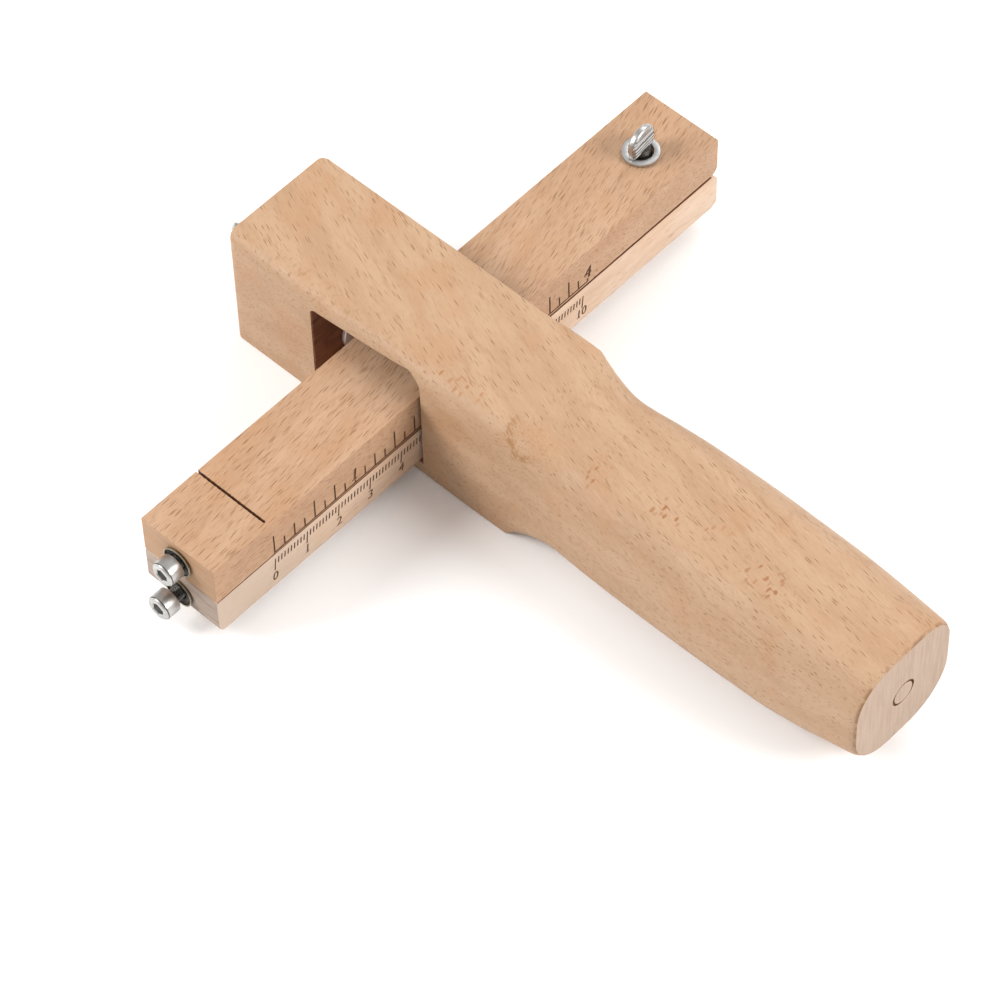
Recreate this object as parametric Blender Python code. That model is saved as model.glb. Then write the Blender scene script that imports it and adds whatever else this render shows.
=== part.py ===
"""Strap cutter: a wooden handle with a cross slot, a graduated crossbar of two wooden bars,
a blade clamped in a saw kerf at one end of the bars, and the screws that set and hold them.

Frame: metres, +Z up.  The handle lies along Y with its head towards +Y.  The crossbar runs
along X, with the blade end towards -X.  The origin is on the handle's flat underside, straight
below the middle of the crossbar where it crosses the handle.
"""
import math

import bpy
import bmesh
from mathutils import Matrix, Vector

MM = 0.001
GAP = 0.3 * MM                  # left between neighbouring pieces

# Handle head: a rectangular block
HEAD_HALF_WIDTH = 15.65 * MM
HEAD_END_Y = 47.6 * MM

# Cross slot through the head
SLOT_FLOOR_Z = 4.0 * MM
SLOT_NEAR_Y = -11.8 * MM        # wall on the grip side
SLOT_FAR_Y = 21.3 * MM          # wall on the head's end side
SLOT_TOP_NEAR_Z = 34.5 * MM
SLOT_TOP_FAR_Z = 31.2 * MM
SLOT_CORNER_RADIUS = 4.2 * MM
SLOT_SMALL_RADIUS = 1.4 * MM

# Crossbar
BAR_HALF_WIDTH = 11.05 * MM
BAR_NEAR_X = -79.2 * MM         # blade end
BAR_FAR_X = 85.0 * MM
LOWER_BAR_BOTTOM_Z = SLOT_FLOOR_Z + GAP
LOWER_BAR_TOP_Z = 15.15 * MM
UPPER_BAR_BOTTOM_Z = LOWER_BAR_TOP_Z + GAP
UPPER_BAR_TOP_Z = 26.65 * MM
BAR_EDGE_RADIUS = 0.5 * MM
BAR_END_RADIUS = 2.2 * MM       # rounding across the bars' ends, along the split and below
UPPER_BAR_RISE = 0.6 * MM       # the upper bar stands this much higher at its far end

# Kerf and blade
KERF_X = -62.07 * MM
KERF_WIDTH = 1.0 * MM
KERF_WEB = 1.3 * MM             # wood left uncut on the grip side
BLADE_THICKNESS = 0.4 * MM
BLADE_WIDTH = 15.9 * MM
BLADE_HEIGHT = 20.0 * MM
BLADE_EDGE_BEVEL = 1.6 * MM

# Clamp screws in the bars' blade end
CLAMP_THREAD_RADIUS = 1.75 * MM
CLAMP_HEAD_RADIUS = 3.15 * MM
CLAMP_HEAD_HEIGHT = 4.0 * MM
CLAMP_SHANK_LENGTH = 17.4 * MM
CLAMP_SOCKET_RADIUS = 1.7 * MM
CLAMP_SOCKET_DEPTH = 2.0 * MM
CLAMP_INSERT_RADIUS = 3.0 * MM
CLAMP_INSERT_LENGTH = 11.0 * MM
CLAMP_FLANGE_RADIUS = 4.05 * MM
CLAMP_FLANGE_HEIGHT = 0.8 * MM
CLAMP_BORE_RADIUS = CLAMP_THREAD_RADIUS + GAP
UPPER_CLAMP_PLACE = (0.0 * MM, 21.0 * MM)   # (y, z) of the screw's axis
LOWER_CLAMP_PLACE = (0.8 * MM, 9.2 * MM)
UPPER_CLAMP_STANDOFF = 0.3 * MM  # head above its insert's flange
LOWER_CLAMP_STANDOFF = 1.9 * MM

# Spade-head thumbscrews
THUMB_THREAD_RADIUS = 2.4 * MM
THUMB_BORE_RADIUS = THUMB_THREAD_RADIUS + GAP
SPADE_THICKNESS = 2.5 * MM
SPADE_HALF_WIDTH = 4.3 * MM
SPADE_BASE_HALF_WIDTH = 3.75 * MM
SPADE_WAIST_HEIGHT = 3.3 * MM
SPADE_HEIGHT = 7.0 * MM

# Thickness thumbscrew at the bars' far end
THICKNESS_X = 70.0 * MM
THICKNESS_Y = -0.7 * MM
THICKNESS_TURN = math.radians(6.0)
WASHER_RADIUS = 4.5 * MM
WASHER_HEIGHT = 0.8 * MM
WASHER_SEAT_Z = UPPER_BAR_TOP_Z + UPPER_BAR_RISE
THICKNESS_TIP_Z = 7.2 * MM
THICKNESS_INSERT_RADIUS = 4.0 * MM
THICKNESS_INSERT_BOTTOM_Z = 5.6 * MM

# Lock thumbscrew through the head's end
LOCK_X = 0.5 * MM
LOCK_Z = 13.0 * MM
LOCK_SPADE_BASE_Y = 55.5 * MM
LOCK_TURN = math.radians(66.0)
TEE_FLANGE_RADIUS = 7.7 * MM
TEE_FLANGE_HEIGHT = 1.2 * MM
TEE_BARREL_RADIUS = 3.6 * MM
TEE_BARREL_LENGTH = 10.0 * MM

ROUND_SEGMENTS = 24
CORNER_STEPS = 4

# Cross-sections along the handle, head end first, in millimetres:
# (y, front x, back x, bottom z, top z, then the corner radii at back top, front top and below)
HANDLE_SECTIONS = [
    (47.6, -13.6, 13.6, 0.3, 36.2, 0.3, 1.2, 0.3),
    (47.3, -14.5, 14.5, 0.0, 36.5, 0.3, 1.5, 0.3),
    (46.6, -15.3, 15.3, 0.0, 36.5, 0.4, 1.8, 0.4),
    (45.6, -15.65, 15.65, 0.0, 36.5, 0.4, 2.4, 0.4),
    (20.0, -15.65, 15.65, 0.0, 36.5, 0.4, 3.0, 0.4),
    (0.0, -15.65, 15.65, 0.0, 36.5, 0.4, 3.8, 0.4),
    (-20.0, -15.65, 15.65, 0.0, 36.5, 0.4, 4.4, 0.4),
    (-29.0, -15.65, 16.1, 0.0, 36.5, 0.4, 5.0, 0.4),
    (-36.8, -15.6, 16.3, 0.0, 36.5, 0.8, 5.6, 0.6),
    (-39.0, -15.5, 16.1, 0.6, 36.2, 2.2, 6.0, 3.0),
    (-42.0, -15.5, 15.9, 1.4, 35.6, 4.2, 6.2, 5.0),
    (-46.0, -15.7, 15.8, 2.0, 34.9, 6.4, 7.2, 7.2),
    (-51.0, -16.2, 16.2, 2.7, 34.5, 8.4, 8.6, 8.8),
    (-61.0, -17.1, 17.0, 2.9, 35.4, 9.5, 9.5, 9.5),
    (-72.0, -17.6, 17.5, 3.1, 36.0, 9.8, 9.8, 9.8),
    (-91.0, -17.8, 17.7, 3.3, 36.3, 10.0, 10.0, 10.0),
    (-111.0, -17.6, 17.5, 3.6, 36.2, 10.2, 10.2, 10.0),
    (-122.0, -17.1, 17.0, 4.3, 36.0, 10.2, 10.2, 10.5),
    (-131.0, -16.4, 16.2, 5.1, 35.8, 9.8, 10.2, 11.5),
    (-136.8, -15.9, 15.5, 5.7, 35.5, 9.2, 10.0, 12.0),
    (-138.0, -15.3, 14.9, 6.3, 35.0, 8.6, 9.6, 11.6),
]


def clear_scene():
    for old in list(bpy.data.objects):
        bpy.data.objects.remove(old, do_unlink=True)


def make_material(name, color, roughness, metallic):
    material = bpy.data.materials.new(name)
    material.use_nodes = True
    shader = material.node_tree.nodes["Principled BSDF"]
    shader.inputs["Base Color"].default_value = (*color, 1.0)
    shader.inputs["Roughness"].default_value = roughness
    shader.inputs["Metallic"].default_value = metallic
    return material


def object_from_bmesh(name, mesh_data, material=None):
    bmesh.ops.recalc_face_normals(mesh_data, faces=mesh_data.faces)
    mesh = bpy.data.meshes.new(name)
    mesh_data.to_mesh(mesh)
    mesh_data.free()
    piece = bpy.data.objects.new(name, mesh)
    bpy.context.collection.objects.link(piece)
    if material:
        mesh.materials.append(material)
    return piece


def shade_round(piece):
    piece.data.shade_smooth()
    piece.data.set_sharp_from_angle(angle=math.radians(35.0))


def boolean(piece, other, operation):
    modifier = piece.modifiers.new(operation.lower() + "_" + other.name, "BOOLEAN")
    modifier.operation = operation
    modifier.solver = "EXACT"
    modifier.object = other
    other.hide_render = True
    other.display_type = "WIRE"


def loft(rings):
    """Closed skin through rings of points that all have the same count."""
    mesh_data = bmesh.new()
    loops = [[mesh_data.verts.new(point) for point in ring] for ring in rings]
    count = len(loops[0])
    for first, second in zip(loops, loops[1:]):
        for i in range(count):
            j = (i + 1) % count
            mesh_data.faces.new((first[i], first[j], second[j], second[i]))
    mesh_data.faces.new(loops[0])
    mesh_data.faces.new(loops[-1])
    return mesh_data


def rounded_section(y, front, back, bottom, top, back_radius, front_radius, low_radius):
    """Rounded rectangle in a plane across the handle, with its own radius at each top corner."""
    corners = (
        (back - back_radius, top - back_radius, back_radius, 0.0),
        (front + front_radius, top - front_radius, front_radius, 90.0),
        (front + low_radius, bottom + low_radius, low_radius, 180.0),
        (back - low_radius, bottom + low_radius, low_radius, 270.0),
    )
    outline = []
    for centre_x, centre_z, radius, start in corners:
        outline += arc(centre_x, centre_z, radius, start, start + 90.0)
    return [Vector((x, y, z)) for x, z in outline]


def turned(profile, axis, origin, segments=ROUND_SEGMENTS):
    """Closed turned shape from (distance along the axis, radius) pairs.

    A profile that comes back to its first point makes a ring with a bore.
    """
    turn = Vector((0, 0, 1)).rotation_difference(Vector(axis)).to_matrix().to_4x4()
    place = Matrix.Translation(origin) @ turn
    rings = []
    for along, radius in profile:
        angles = (2 * math.pi * i / segments for i in range(segments))
        rings.append([place @ Vector((radius * math.cos(a), radius * math.sin(a), along))
                      for a in angles])
    return rings


def rod(name, profile, axis, origin, material=None, segments=ROUND_SEGMENTS):
    piece = object_from_bmesh(name, loft(turned(profile, axis, origin, segments)), material)
    shade_round(piece)
    return piece


def tube(name, profile, axis, origin, material, segments=ROUND_SEGMENTS):
    """Turned ring: the profile goes round its section once."""
    rings = turned(profile, axis, origin, segments)
    mesh_data = bmesh.new()
    loops = [[mesh_data.verts.new(point) for point in ring] for ring in rings]
    for first, second in zip(loops, loops[1:] + loops[:1]):
        for i in range(segments):
            j = (i + 1) % segments
            mesh_data.faces.new((first[i], first[j], second[j], second[i]))
    piece = object_from_bmesh(name, mesh_data, material)
    shade_round(piece)
    return piece


def prism(name, outline, low, high, axis, material=None):
    """Extrude an outline of (u, v) points along a world axis: 'X' takes (y, z), 'Y' takes (x, z)."""
    def place(u, v, along):
        return Vector((along, u, v)) if axis == "X" else Vector((u, along, v))
    rings = [[place(u, v, along) for u, v in outline] for along in (low, high)]
    return object_from_bmesh(name, loft(rings), material)


def box_outline(low_u, low_v, high_u, high_v):
    return [(low_u, low_v), (high_u, low_v), (high_u, high_v), (low_u, high_v)]


def arc(centre_u, centre_v, radius, start, stop, steps=CORNER_STEPS):
    angles = (math.radians(start + (stop - start) * i / steps) for i in range(steps + 1))
    return [(centre_u + radius * math.cos(a), centre_v + radius * math.sin(a)) for a in angles]


def set_origin(piece, point):
    """Move a piece's origin without moving its shape."""
    piece.data.transform(Matrix.Translation(-Vector(point)))
    piece.location = point


def slot_outline():
    """Slot section seen along the crossbar: flat floor, sloping top and round top corners."""
    small = SLOT_SMALL_RADIUS
    large = SLOT_CORNER_RADIUS
    slope = 97.0                # direction square to the sloping top, in degrees
    far_corner = arc(SLOT_FAR_Y - small, SLOT_TOP_FAR_Z - small, small, 0.0, slope)
    near_corner = arc(SLOT_NEAR_Y + large, SLOT_TOP_NEAR_Z - large, large, slope, 180.0)
    return [(SLOT_NEAR_Y, SLOT_FLOOR_Z), (SLOT_FAR_Y, SLOT_FLOOR_Z)] + far_corner + near_corner


def make_handle(material):
    rings = [rounded_section(*(value * MM for value in section)) for section in HANDLE_SECTIONS]
    handle = object_from_bmesh("handle", loft(rings), material)
    shade_round(handle)
    through = HEAD_HALF_WIDTH + 5 * MM
    boolean(handle, prism("slot_cutter", slot_outline(), -through, through, "X"), "DIFFERENCE")
    barrel_end = TEE_BARREL_LENGTH + GAP
    hole_end = HEAD_END_Y - SLOT_FAR_Y + 5 * MM
    profile = [
        (-2 * MM, TEE_BARREL_RADIUS + GAP),
        (barrel_end, TEE_BARREL_RADIUS + GAP),
        (barrel_end, THUMB_BORE_RADIUS),
        (hole_end, THUMB_BORE_RADIUS),
    ]
    boolean(handle, rod("lock_hole_cutter", profile, (0, 1, 0), (LOCK_X, SLOT_FAR_Y, LOCK_Z)), "DIFFERENCE")
    return handle


def bar_outline(bottom, top, high_radius, rise):
    """Bar seen from the side, in (x, z), with softly rounded ends; its far end stands higher."""
    end = BAR_END_RADIUS
    small = BAR_EDGE_RADIUS
    far_bottom = bottom + rise
    far_top = top + rise
    outline = arc(BAR_NEAR_X + end, bottom + end, end, 180.0, 270.0)
    outline += arc(BAR_FAR_X - end, far_bottom + end, end, 270.0, 360.0)
    outline += arc(BAR_FAR_X - high_radius, far_top - high_radius, high_radius, 0.0, 90.0)
    outline += arc(BAR_NEAR_X + small, top - small, small, 90.0, 180.0)
    return outline


def cut_bar(bar, bottom, top, clamp_place):
    """Cut the blade's kerf and the clamp screw's bore into a bar."""
    margin = 5 * MM
    half_kerf = KERF_WIDTH / 2
    kerf = box_outline(-BAR_HALF_WIDTH + KERF_WEB, bottom - margin, BAR_HALF_WIDTH + margin, top + margin)
    kerf_cutter = prism(bar.name + "_kerf_cutter", kerf, KERF_X - half_kerf, KERF_X + half_kerf, "X")
    boolean(bar, kerf_cutter, "DIFFERENCE")
    pocket_end = CLAMP_INSERT_LENGTH + GAP
    profile = [
        (-2 * MM, CLAMP_INSERT_RADIUS + GAP),
        (pocket_end, CLAMP_INSERT_RADIUS + GAP),
        (pocket_end, CLAMP_BORE_RADIUS),
        (KERF_X - BAR_NEAR_X, CLAMP_BORE_RADIUS),
    ]
    clamp_cutter = rod(bar.name + "_clamp_cutter", profile, (1, 0, 0), (BAR_NEAR_X, *clamp_place))
    boolean(bar, clamp_cutter, "DIFFERENCE")


def make_lower_bar(material):
    outline = bar_outline(LOWER_BAR_BOTTOM_Z, LOWER_BAR_TOP_Z, BAR_END_RADIUS, 0.0)
    bar = prism("lower_bar", outline, -BAR_HALF_WIDTH, BAR_HALF_WIDTH, "Y", material)
    cut_bar(bar, LOWER_BAR_BOTTOM_Z, LOWER_BAR_TOP_Z, LOWER_CLAMP_PLACE)
    profile = [
        (THICKNESS_INSERT_BOTTOM_Z - GAP, THICKNESS_INSERT_RADIUS + GAP),
        (LOWER_BAR_TOP_Z + 2 * MM, THICKNESS_INSERT_RADIUS + GAP),
    ]
    cutter = rod("thickness_pocket_cutter", profile, (0, 0, 1), (THICKNESS_X, THICKNESS_Y, 0))
    boolean(bar, cutter, "DIFFERENCE")
    return bar


def make_upper_bar(material):
    outline = bar_outline(UPPER_BAR_BOTTOM_Z, UPPER_BAR_TOP_Z, BAR_EDGE_RADIUS, UPPER_BAR_RISE)
    bar = prism("upper_bar", outline, -BAR_HALF_WIDTH, BAR_HALF_WIDTH, "Y", material)
    cut_bar(bar, UPPER_BAR_BOTTOM_Z, UPPER_BAR_TOP_Z, UPPER_CLAMP_PLACE)
    margin = 2 * MM
    profile = [
        (UPPER_BAR_BOTTOM_Z - margin, THUMB_BORE_RADIUS),
        (WASHER_SEAT_Z + margin, THUMB_BORE_RADIUS),
    ]
    cutter = rod("thickness_hole_cutter", profile, (0, 0, 1), (THICKNESS_X, THICKNESS_Y, 0))
    boolean(bar, cutter, "DIFFERENCE")
    return bar


def make_blade(material):
    """Rectangular blade with its sharp edge towards the grip, against the kerf's inner wall."""
    low_x = KERF_X + KERF_WIDTH / 2 - GAP - BLADE_THICKNESS
    high_x = low_x + BLADE_THICKNESS
    middle_x = (low_x + high_x) / 2
    edge_y = -BAR_HALF_WIDTH + KERF_WEB + GAP
    outline = [
        (middle_x - 0.03 * MM, edge_y),
        (middle_x + 0.03 * MM, edge_y),
        (high_x, edge_y + BLADE_EDGE_BEVEL),
        (high_x, edge_y + BLADE_WIDTH),
        (low_x, edge_y + BLADE_WIDTH),
        (low_x, edge_y + BLADE_EDGE_BEVEL),
    ]
    centre_z = (LOWER_BAR_BOTTOM_Z + UPPER_BAR_TOP_Z) / 2
    rings = [[Vector((x, y, centre_z + side * BLADE_HEIGHT / 2)) for x, y in outline]
             for side in (-1, 1)]
    return object_from_bmesh("blade", loft(rings), material)


def make_clamp_insert(name, place, material):
    """Flanged threaded insert in a bar's end."""
    flange_face = -(CLAMP_FLANGE_HEIGHT + GAP)
    profile = [
        (flange_face, CLAMP_BORE_RADIUS),
        (flange_face, CLAMP_FLANGE_RADIUS),
        (-GAP, CLAMP_FLANGE_RADIUS),
        (-GAP, CLAMP_INSERT_RADIUS),
        (CLAMP_INSERT_LENGTH, CLAMP_INSERT_RADIUS),
        (CLAMP_INSERT_LENGTH, CLAMP_BORE_RADIUS),
    ]
    return tube(name, profile, (1, 0, 0), (BAR_NEAR_X, *place), material)


def make_clamp_screw(name, place, standoff, material):
    """Socket-head screw whose tip presses on the blade."""
    head_back = -(CLAMP_FLANGE_HEIGHT + GAP + standoff)
    head_front = head_back - CLAMP_HEAD_HEIGHT
    chamfer = 0.5 * MM
    profile = [
        (head_front, CLAMP_HEAD_RADIUS - chamfer),
        (head_front + chamfer, CLAMP_HEAD_RADIUS),
        (head_back, CLAMP_HEAD_RADIUS),
        (head_back, CLAMP_THREAD_RADIUS),
        (head_back + CLAMP_SHANK_LENGTH, CLAMP_THREAD_RADIUS),
    ]
    centre = (BAR_NEAR_X, *place)
    screw = rod(name, profile, (1, 0, 0), centre, material)
    socket = [
        (head_front - 1 * MM, CLAMP_SOCKET_RADIUS),
        (head_front + CLAMP_SOCKET_DEPTH, CLAMP_SOCKET_RADIUS),
    ]
    boolean(screw, rod(name + "_socket_cutter", socket, (1, 0, 0), centre, segments=6), "DIFFERENCE")
    set_origin(screw, centre)
    return screw


def spade_outline():
    """Half-outline points of a spade head, mirrored: (across, along) from its base."""
    side = [(SPADE_BASE_HALF_WIDTH, 0.0), (SPADE_HALF_WIDTH, SPADE_WAIST_HEIGHT)]
    steps = 10
    crown = SPADE_HEIGHT - SPADE_WAIST_HEIGHT
    for i in range(1, steps):
        angle = math.pi * i / steps
        side.append((SPADE_HALF_WIDTH * math.cos(angle), SPADE_WAIST_HEIGHT + crown * math.sin(angle)))
    return side + [(-SPADE_HALF_WIDTH, SPADE_WAIST_HEIGHT), (-SPADE_BASE_HALF_WIDTH, 0.0)]


def make_thumbscrew(name, shank_length, material):
    """Thumbscrew along +Z with its origin at the spade's base on the screw's axis."""
    half = SPADE_THICKNESS / 2
    screw = prism(name, spade_outline(), -half, half, "Y", material)
    profile = [(-shank_length, THUMB_THREAD_RADIUS), (0.6 * MM, THUMB_THREAD_RADIUS)]
    shank = rod(name + "_shank", profile, (0, 0, 1), (0, 0, 0))
    boolean(screw, shank, "UNION")
    return screw, shank


def place_together(pieces, matrix):
    for piece in pieces:
        piece.data.transform(matrix)


def make_thickness_thumbscrew(material):
    base_z = WASHER_SEAT_Z + WASHER_HEIGHT + 2 * GAP
    screw, shank = make_thumbscrew("thickness_thumbscrew", base_z - THICKNESS_TIP_Z, material)
    place_together((screw, shank), Matrix.Rotation(THICKNESS_TURN, 4, "Z"))
    for piece in (screw, shank):
        piece.location = (THICKNESS_X, THICKNESS_Y, base_z)
    return screw


def make_lock_thumbscrew(material):
    tip_y = BAR_HALF_WIDTH + GAP
    screw, shank = make_thumbscrew("lock_thumbscrew", LOCK_SPADE_BASE_Y - tip_y, material)
    turn = Matrix.Rotation(math.radians(-90.0), 4, "X") @ Matrix.Rotation(LOCK_TURN, 4, "Z")
    place_together((screw, shank), turn)
    for piece in (screw, shank):
        piece.location = (LOCK_X, LOCK_SPADE_BASE_Y, LOCK_Z)
    return screw


def make_washer(material):
    profile = [
        (0, THUMB_BORE_RADIUS),
        (0, WASHER_RADIUS),
        (WASHER_HEIGHT, WASHER_RADIUS),
        (WASHER_HEIGHT, THUMB_BORE_RADIUS),
    ]
    origin = (THICKNESS_X, THICKNESS_Y, WASHER_SEAT_Z + GAP)
    return tube("thickness_washer", profile, (0, 0, 1), origin, material)


def make_thickness_insert(material):
    """Threaded insert for the thickness thumbscrew, let into the lower bar."""
    profile = [
        (THICKNESS_INSERT_BOTTOM_Z, THUMB_BORE_RADIUS),
        (THICKNESS_INSERT_BOTTOM_Z, THICKNESS_INSERT_RADIUS),
        (LOWER_BAR_TOP_Z, THICKNESS_INSERT_RADIUS),
        (LOWER_BAR_TOP_Z, THUMB_BORE_RADIUS),
    ]
    origin = (THICKNESS_X, THICKNESS_Y, 0)
    return tube("thickness_insert", profile, (0, 0, 1), origin, material)


def make_tee_nut(material):
    """Tee nut in the slot's end wall, which the lock thumbscrew runs through."""
    profile = [
        (-(TEE_FLANGE_HEIGHT + GAP), THUMB_BORE_RADIUS),
        (-(TEE_FLANGE_HEIGHT + GAP), TEE_FLANGE_RADIUS),
        (-GAP, TEE_FLANGE_RADIUS),
        (-GAP, TEE_BARREL_RADIUS),
        (TEE_BARREL_LENGTH, TEE_BARREL_RADIUS),
        (TEE_BARREL_LENGTH, THUMB_BORE_RADIUS),
    ]
    return tube("lock_tee_nut", profile, (0, 1, 0), (LOCK_X, SLOT_FAR_Y, LOCK_Z), material)


def main():
    clear_scene()
    handle_wood = make_material("handle_wood", (0.60, 0.36, 0.20), 0.62, 0.0)
    upper_wood = make_material("upper_bar_wood", (0.56, 0.33, 0.19), 0.64, 0.0)
    lower_wood = make_material("lower_bar_wood", (0.72, 0.50, 0.32), 0.64, 0.0)
    zinc = make_material("zinc_steel", (0.62, 0.61, 0.60), 0.30, 1.0)
    blade_steel = make_material("blade_steel", (0.55, 0.55, 0.56), 0.25, 1.0)

    make_handle(handle_wood)
    make_tee_nut(zinc)
    make_lock_thumbscrew(zinc)
    make_lower_bar(lower_wood)
    make_upper_bar(upper_wood)
    make_blade(blade_steel)
    make_clamp_insert("upper_clamp_insert", UPPER_CLAMP_PLACE, zinc)
    make_clamp_insert("lower_clamp_insert", LOWER_CLAMP_PLACE, zinc)
    make_clamp_screw("upper_clamp_screw", UPPER_CLAMP_PLACE, UPPER_CLAMP_STANDOFF, zinc)
    make_clamp_screw("lower_clamp_screw", LOWER_CLAMP_PLACE, LOWER_CLAMP_STANDOFF, zinc)
    make_thickness_insert(zinc)
    make_washer(zinc)
    make_thickness_thumbscrew(zinc)


main()
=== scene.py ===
"""Looks of the strap cutter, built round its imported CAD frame.

Frame: metres, +Z up.  The handle lies along Y with its head towards +Y, and the two bars of the
crossbar run along X, with the blade end towards -X.  Shapes are given in millimetres and scaled.
"""
import math

import bmesh
import bpy
from mathutils import Matrix, Vector

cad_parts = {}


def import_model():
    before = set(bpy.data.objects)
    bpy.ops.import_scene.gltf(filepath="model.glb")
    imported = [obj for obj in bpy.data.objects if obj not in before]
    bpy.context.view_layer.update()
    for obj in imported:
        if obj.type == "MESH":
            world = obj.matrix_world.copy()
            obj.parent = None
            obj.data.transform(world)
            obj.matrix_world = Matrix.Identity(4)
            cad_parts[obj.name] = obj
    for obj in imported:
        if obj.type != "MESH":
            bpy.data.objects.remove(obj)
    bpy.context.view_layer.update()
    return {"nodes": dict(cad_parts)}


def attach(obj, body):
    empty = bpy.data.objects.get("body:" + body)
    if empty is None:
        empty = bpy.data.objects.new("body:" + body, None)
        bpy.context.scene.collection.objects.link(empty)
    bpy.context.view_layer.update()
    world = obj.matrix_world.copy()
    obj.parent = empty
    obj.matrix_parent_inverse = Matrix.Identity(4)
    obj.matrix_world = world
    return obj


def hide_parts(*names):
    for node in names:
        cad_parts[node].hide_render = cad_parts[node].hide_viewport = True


MM = 0.001

# ---------------------------------------------------------------- handle
HEAD_FRONT_X = -15.65
HEAD_END_Y = 47.6
SLOT_FLOOR_Z = 4.0
SLOT_NEAR_Y = -11.8
SLOT_FAR_Y = 21.3
SLOT_TOP_NEAR_Z = 34.5
SLOT_TOP_FAR_Z = 31.2
SLOT_NEAR_RADIUS = 4.2
SLOT_FAR_RADIUS = 1.4
SLOT_SLOPE = 97.0               # direction square to the sloping top, in degrees
SLOT_MOUTH = 0.3                # chamfer round the slot's mouths
RING_SPACING = 1.5              # between the handle's cross-sections
CORNER_STEPS = 8

# Cross-sections along the handle, head end first: (y, front x, back x, bottom z, top z,
# then the corner radii at back top, front top and below)
HANDLE_SECTIONS = [
    (47.6, -13.6, 13.6, 0.3, 36.2, 0.3, 1.2, 0.3),
    (47.3, -14.5, 14.5, 0.0, 36.5, 0.3, 1.5, 0.3),
    (46.6, -15.3, 15.3, 0.0, 36.5, 0.4, 1.8, 0.4),
    (45.6, -15.65, 15.65, 0.0, 36.5, 0.4, 2.4, 0.4),
    (20.0, -15.65, 15.65, 0.0, 36.5, 0.4, 3.0, 0.4),
    (0.0, -15.65, 15.65, 0.0, 36.5, 0.4, 3.8, 0.4),
    (-20.0, -15.65, 15.65, 0.0, 36.5, 0.4, 4.4, 0.4),
    (-29.0, -15.65, 16.1, 0.0, 36.5, 0.4, 5.0, 0.4),
    (-36.8, -15.6, 16.3, 0.0, 36.5, 0.8, 5.6, 0.6),
    (-39.0, -15.5, 16.1, 0.6, 36.2, 2.2, 6.0, 3.0),
    (-42.0, -15.5, 15.9, 1.4, 35.6, 4.2, 6.2, 5.0),
    (-46.0, -15.7, 15.8, 2.0, 34.9, 6.4, 7.2, 7.2),
    (-51.0, -16.2, 16.2, 2.7, 34.5, 8.4, 8.6, 8.8),
    (-61.0, -17.1, 17.0, 2.9, 35.4, 9.5, 9.5, 9.5),
    (-72.0, -17.6, 17.5, 3.1, 36.0, 9.8, 9.8, 9.8),
    (-91.0, -17.8, 17.7, 3.3, 36.3, 10.0, 10.0, 10.0),
    (-111.0, -17.6, 17.5, 3.6, 36.2, 10.2, 10.2, 10.0),
    (-122.0, -17.1, 17.0, 4.3, 36.0, 10.2, 10.2, 10.5),
    (-131.0, -16.4, 16.2, 5.1, 35.8, 9.8, 10.2, 11.5),
    (-136.8, -15.9, 15.5, 5.7, 35.5, 9.2, 10.0, 12.0),
    (-138.0, -15.3, 14.9, 6.3, 35.0, 8.6, 9.6, 11.6),
]

# Lathe-centre ring pressed into the butt
BUTT_Y = -138.0
BUTT_RING_CENTRE = (0.1, 20.5)
BUTT_RING_RADIUS = 3.2
BUTT_RING_WIDTH = 0.95          # where it is widest, on two opposite sides
BUTT_RING_DEPTH = 0.5
BUTT_RING_TURN = 25.0           # direction of a wide side, in degrees from +X towards +Z

# ---------------------------------------------------------------- bars
BAR_HALF_WIDTH = 11.05
BAR_NEAR_X = -79.2
BAR_FAR_X = 85.0
LOWER_BAR_BOTTOM_Z = 4.3
LOWER_BAR_TOP_Z = 15.15
UPPER_BAR_BOTTOM_Z = 15.45
UPPER_BAR_TOP_Z = 26.65
UPPER_BAR_RISE = 0.6            # the upper bar stands this much higher at its far end
BAR_END_RADIUS = 2.2
BAR_SMALL_RADIUS = 0.3
BAR_EDGE_BEVEL = 0.35
BAR_JOINT_BEVEL = 0.1           # along the split between the bars
KERF_X = -62.07
KERF_WIDTH = 0.64
KERF_WEB = 1.3                  # wood left uncut on the grip side
KERF_STEPS = 60
KERF_OVER = 3.0                 # how far the kerf's cutter stands past the bar
CUT_OVER = 2.0                  # how far other cutters stand out of the wood
INSERT_CLEARANCE = 0.3

# Scales burnt into the bars' grip side
SCALE_ZERO_X = -61.2
BURN_DEPTH = 0.22
BURN_OVER = 1.0                 # how far the cutters stand out of the wood
TICK_WIDTH = 0.38               # of the millimetre scale's lines
INCH_LINE_WIDTH = 0.46
INCH = 25.4
SCALE_DROP = 1.0                # how far the millimetre scale falls over its whole length
CM_TICK = 3.9
MM_TICK = 2.0
TICK_LEAN = 0.4                 # a tick's foot stands this far towards the blade end
CM_TOP_Z = 13.5
CM_DIGIT_TOP_Z = 8.95
CM_DIGIT_HEIGHT = 2.7
CM_DIGIT_DROP = 0.3             # over the scale's whole length
CM_DIGIT_SHIFT = 0.35           # towards the blade end
INCH_BASE_Z = 15.95
INCH_BASE_RISE = 0.62
EIGHTHS = 32
EIGHTH_TICKS = (6.0, 2.9, 4.3, 2.9, 6.0, 2.9, 5.4, 2.9)    # the zero first
NUMBERED_TICK = 1.0             # a number stands on this short line
INCH_DIGIT_HEIGHT = 3.7
INCH_DIGIT_LIFT = 1.25
NUMBER_SLANT = 0.12
NUMBER_FOOT = (0.16, 0.05)      # half length and half thickness of the foot under a 1
INCH_STRIKE = 0.11              # each number is struck twice, this far to either side
CM_STRIKE = 0.06
DIGIT_SPREAD = 0.92             # a digit's width, as a share of the plain font's

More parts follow.
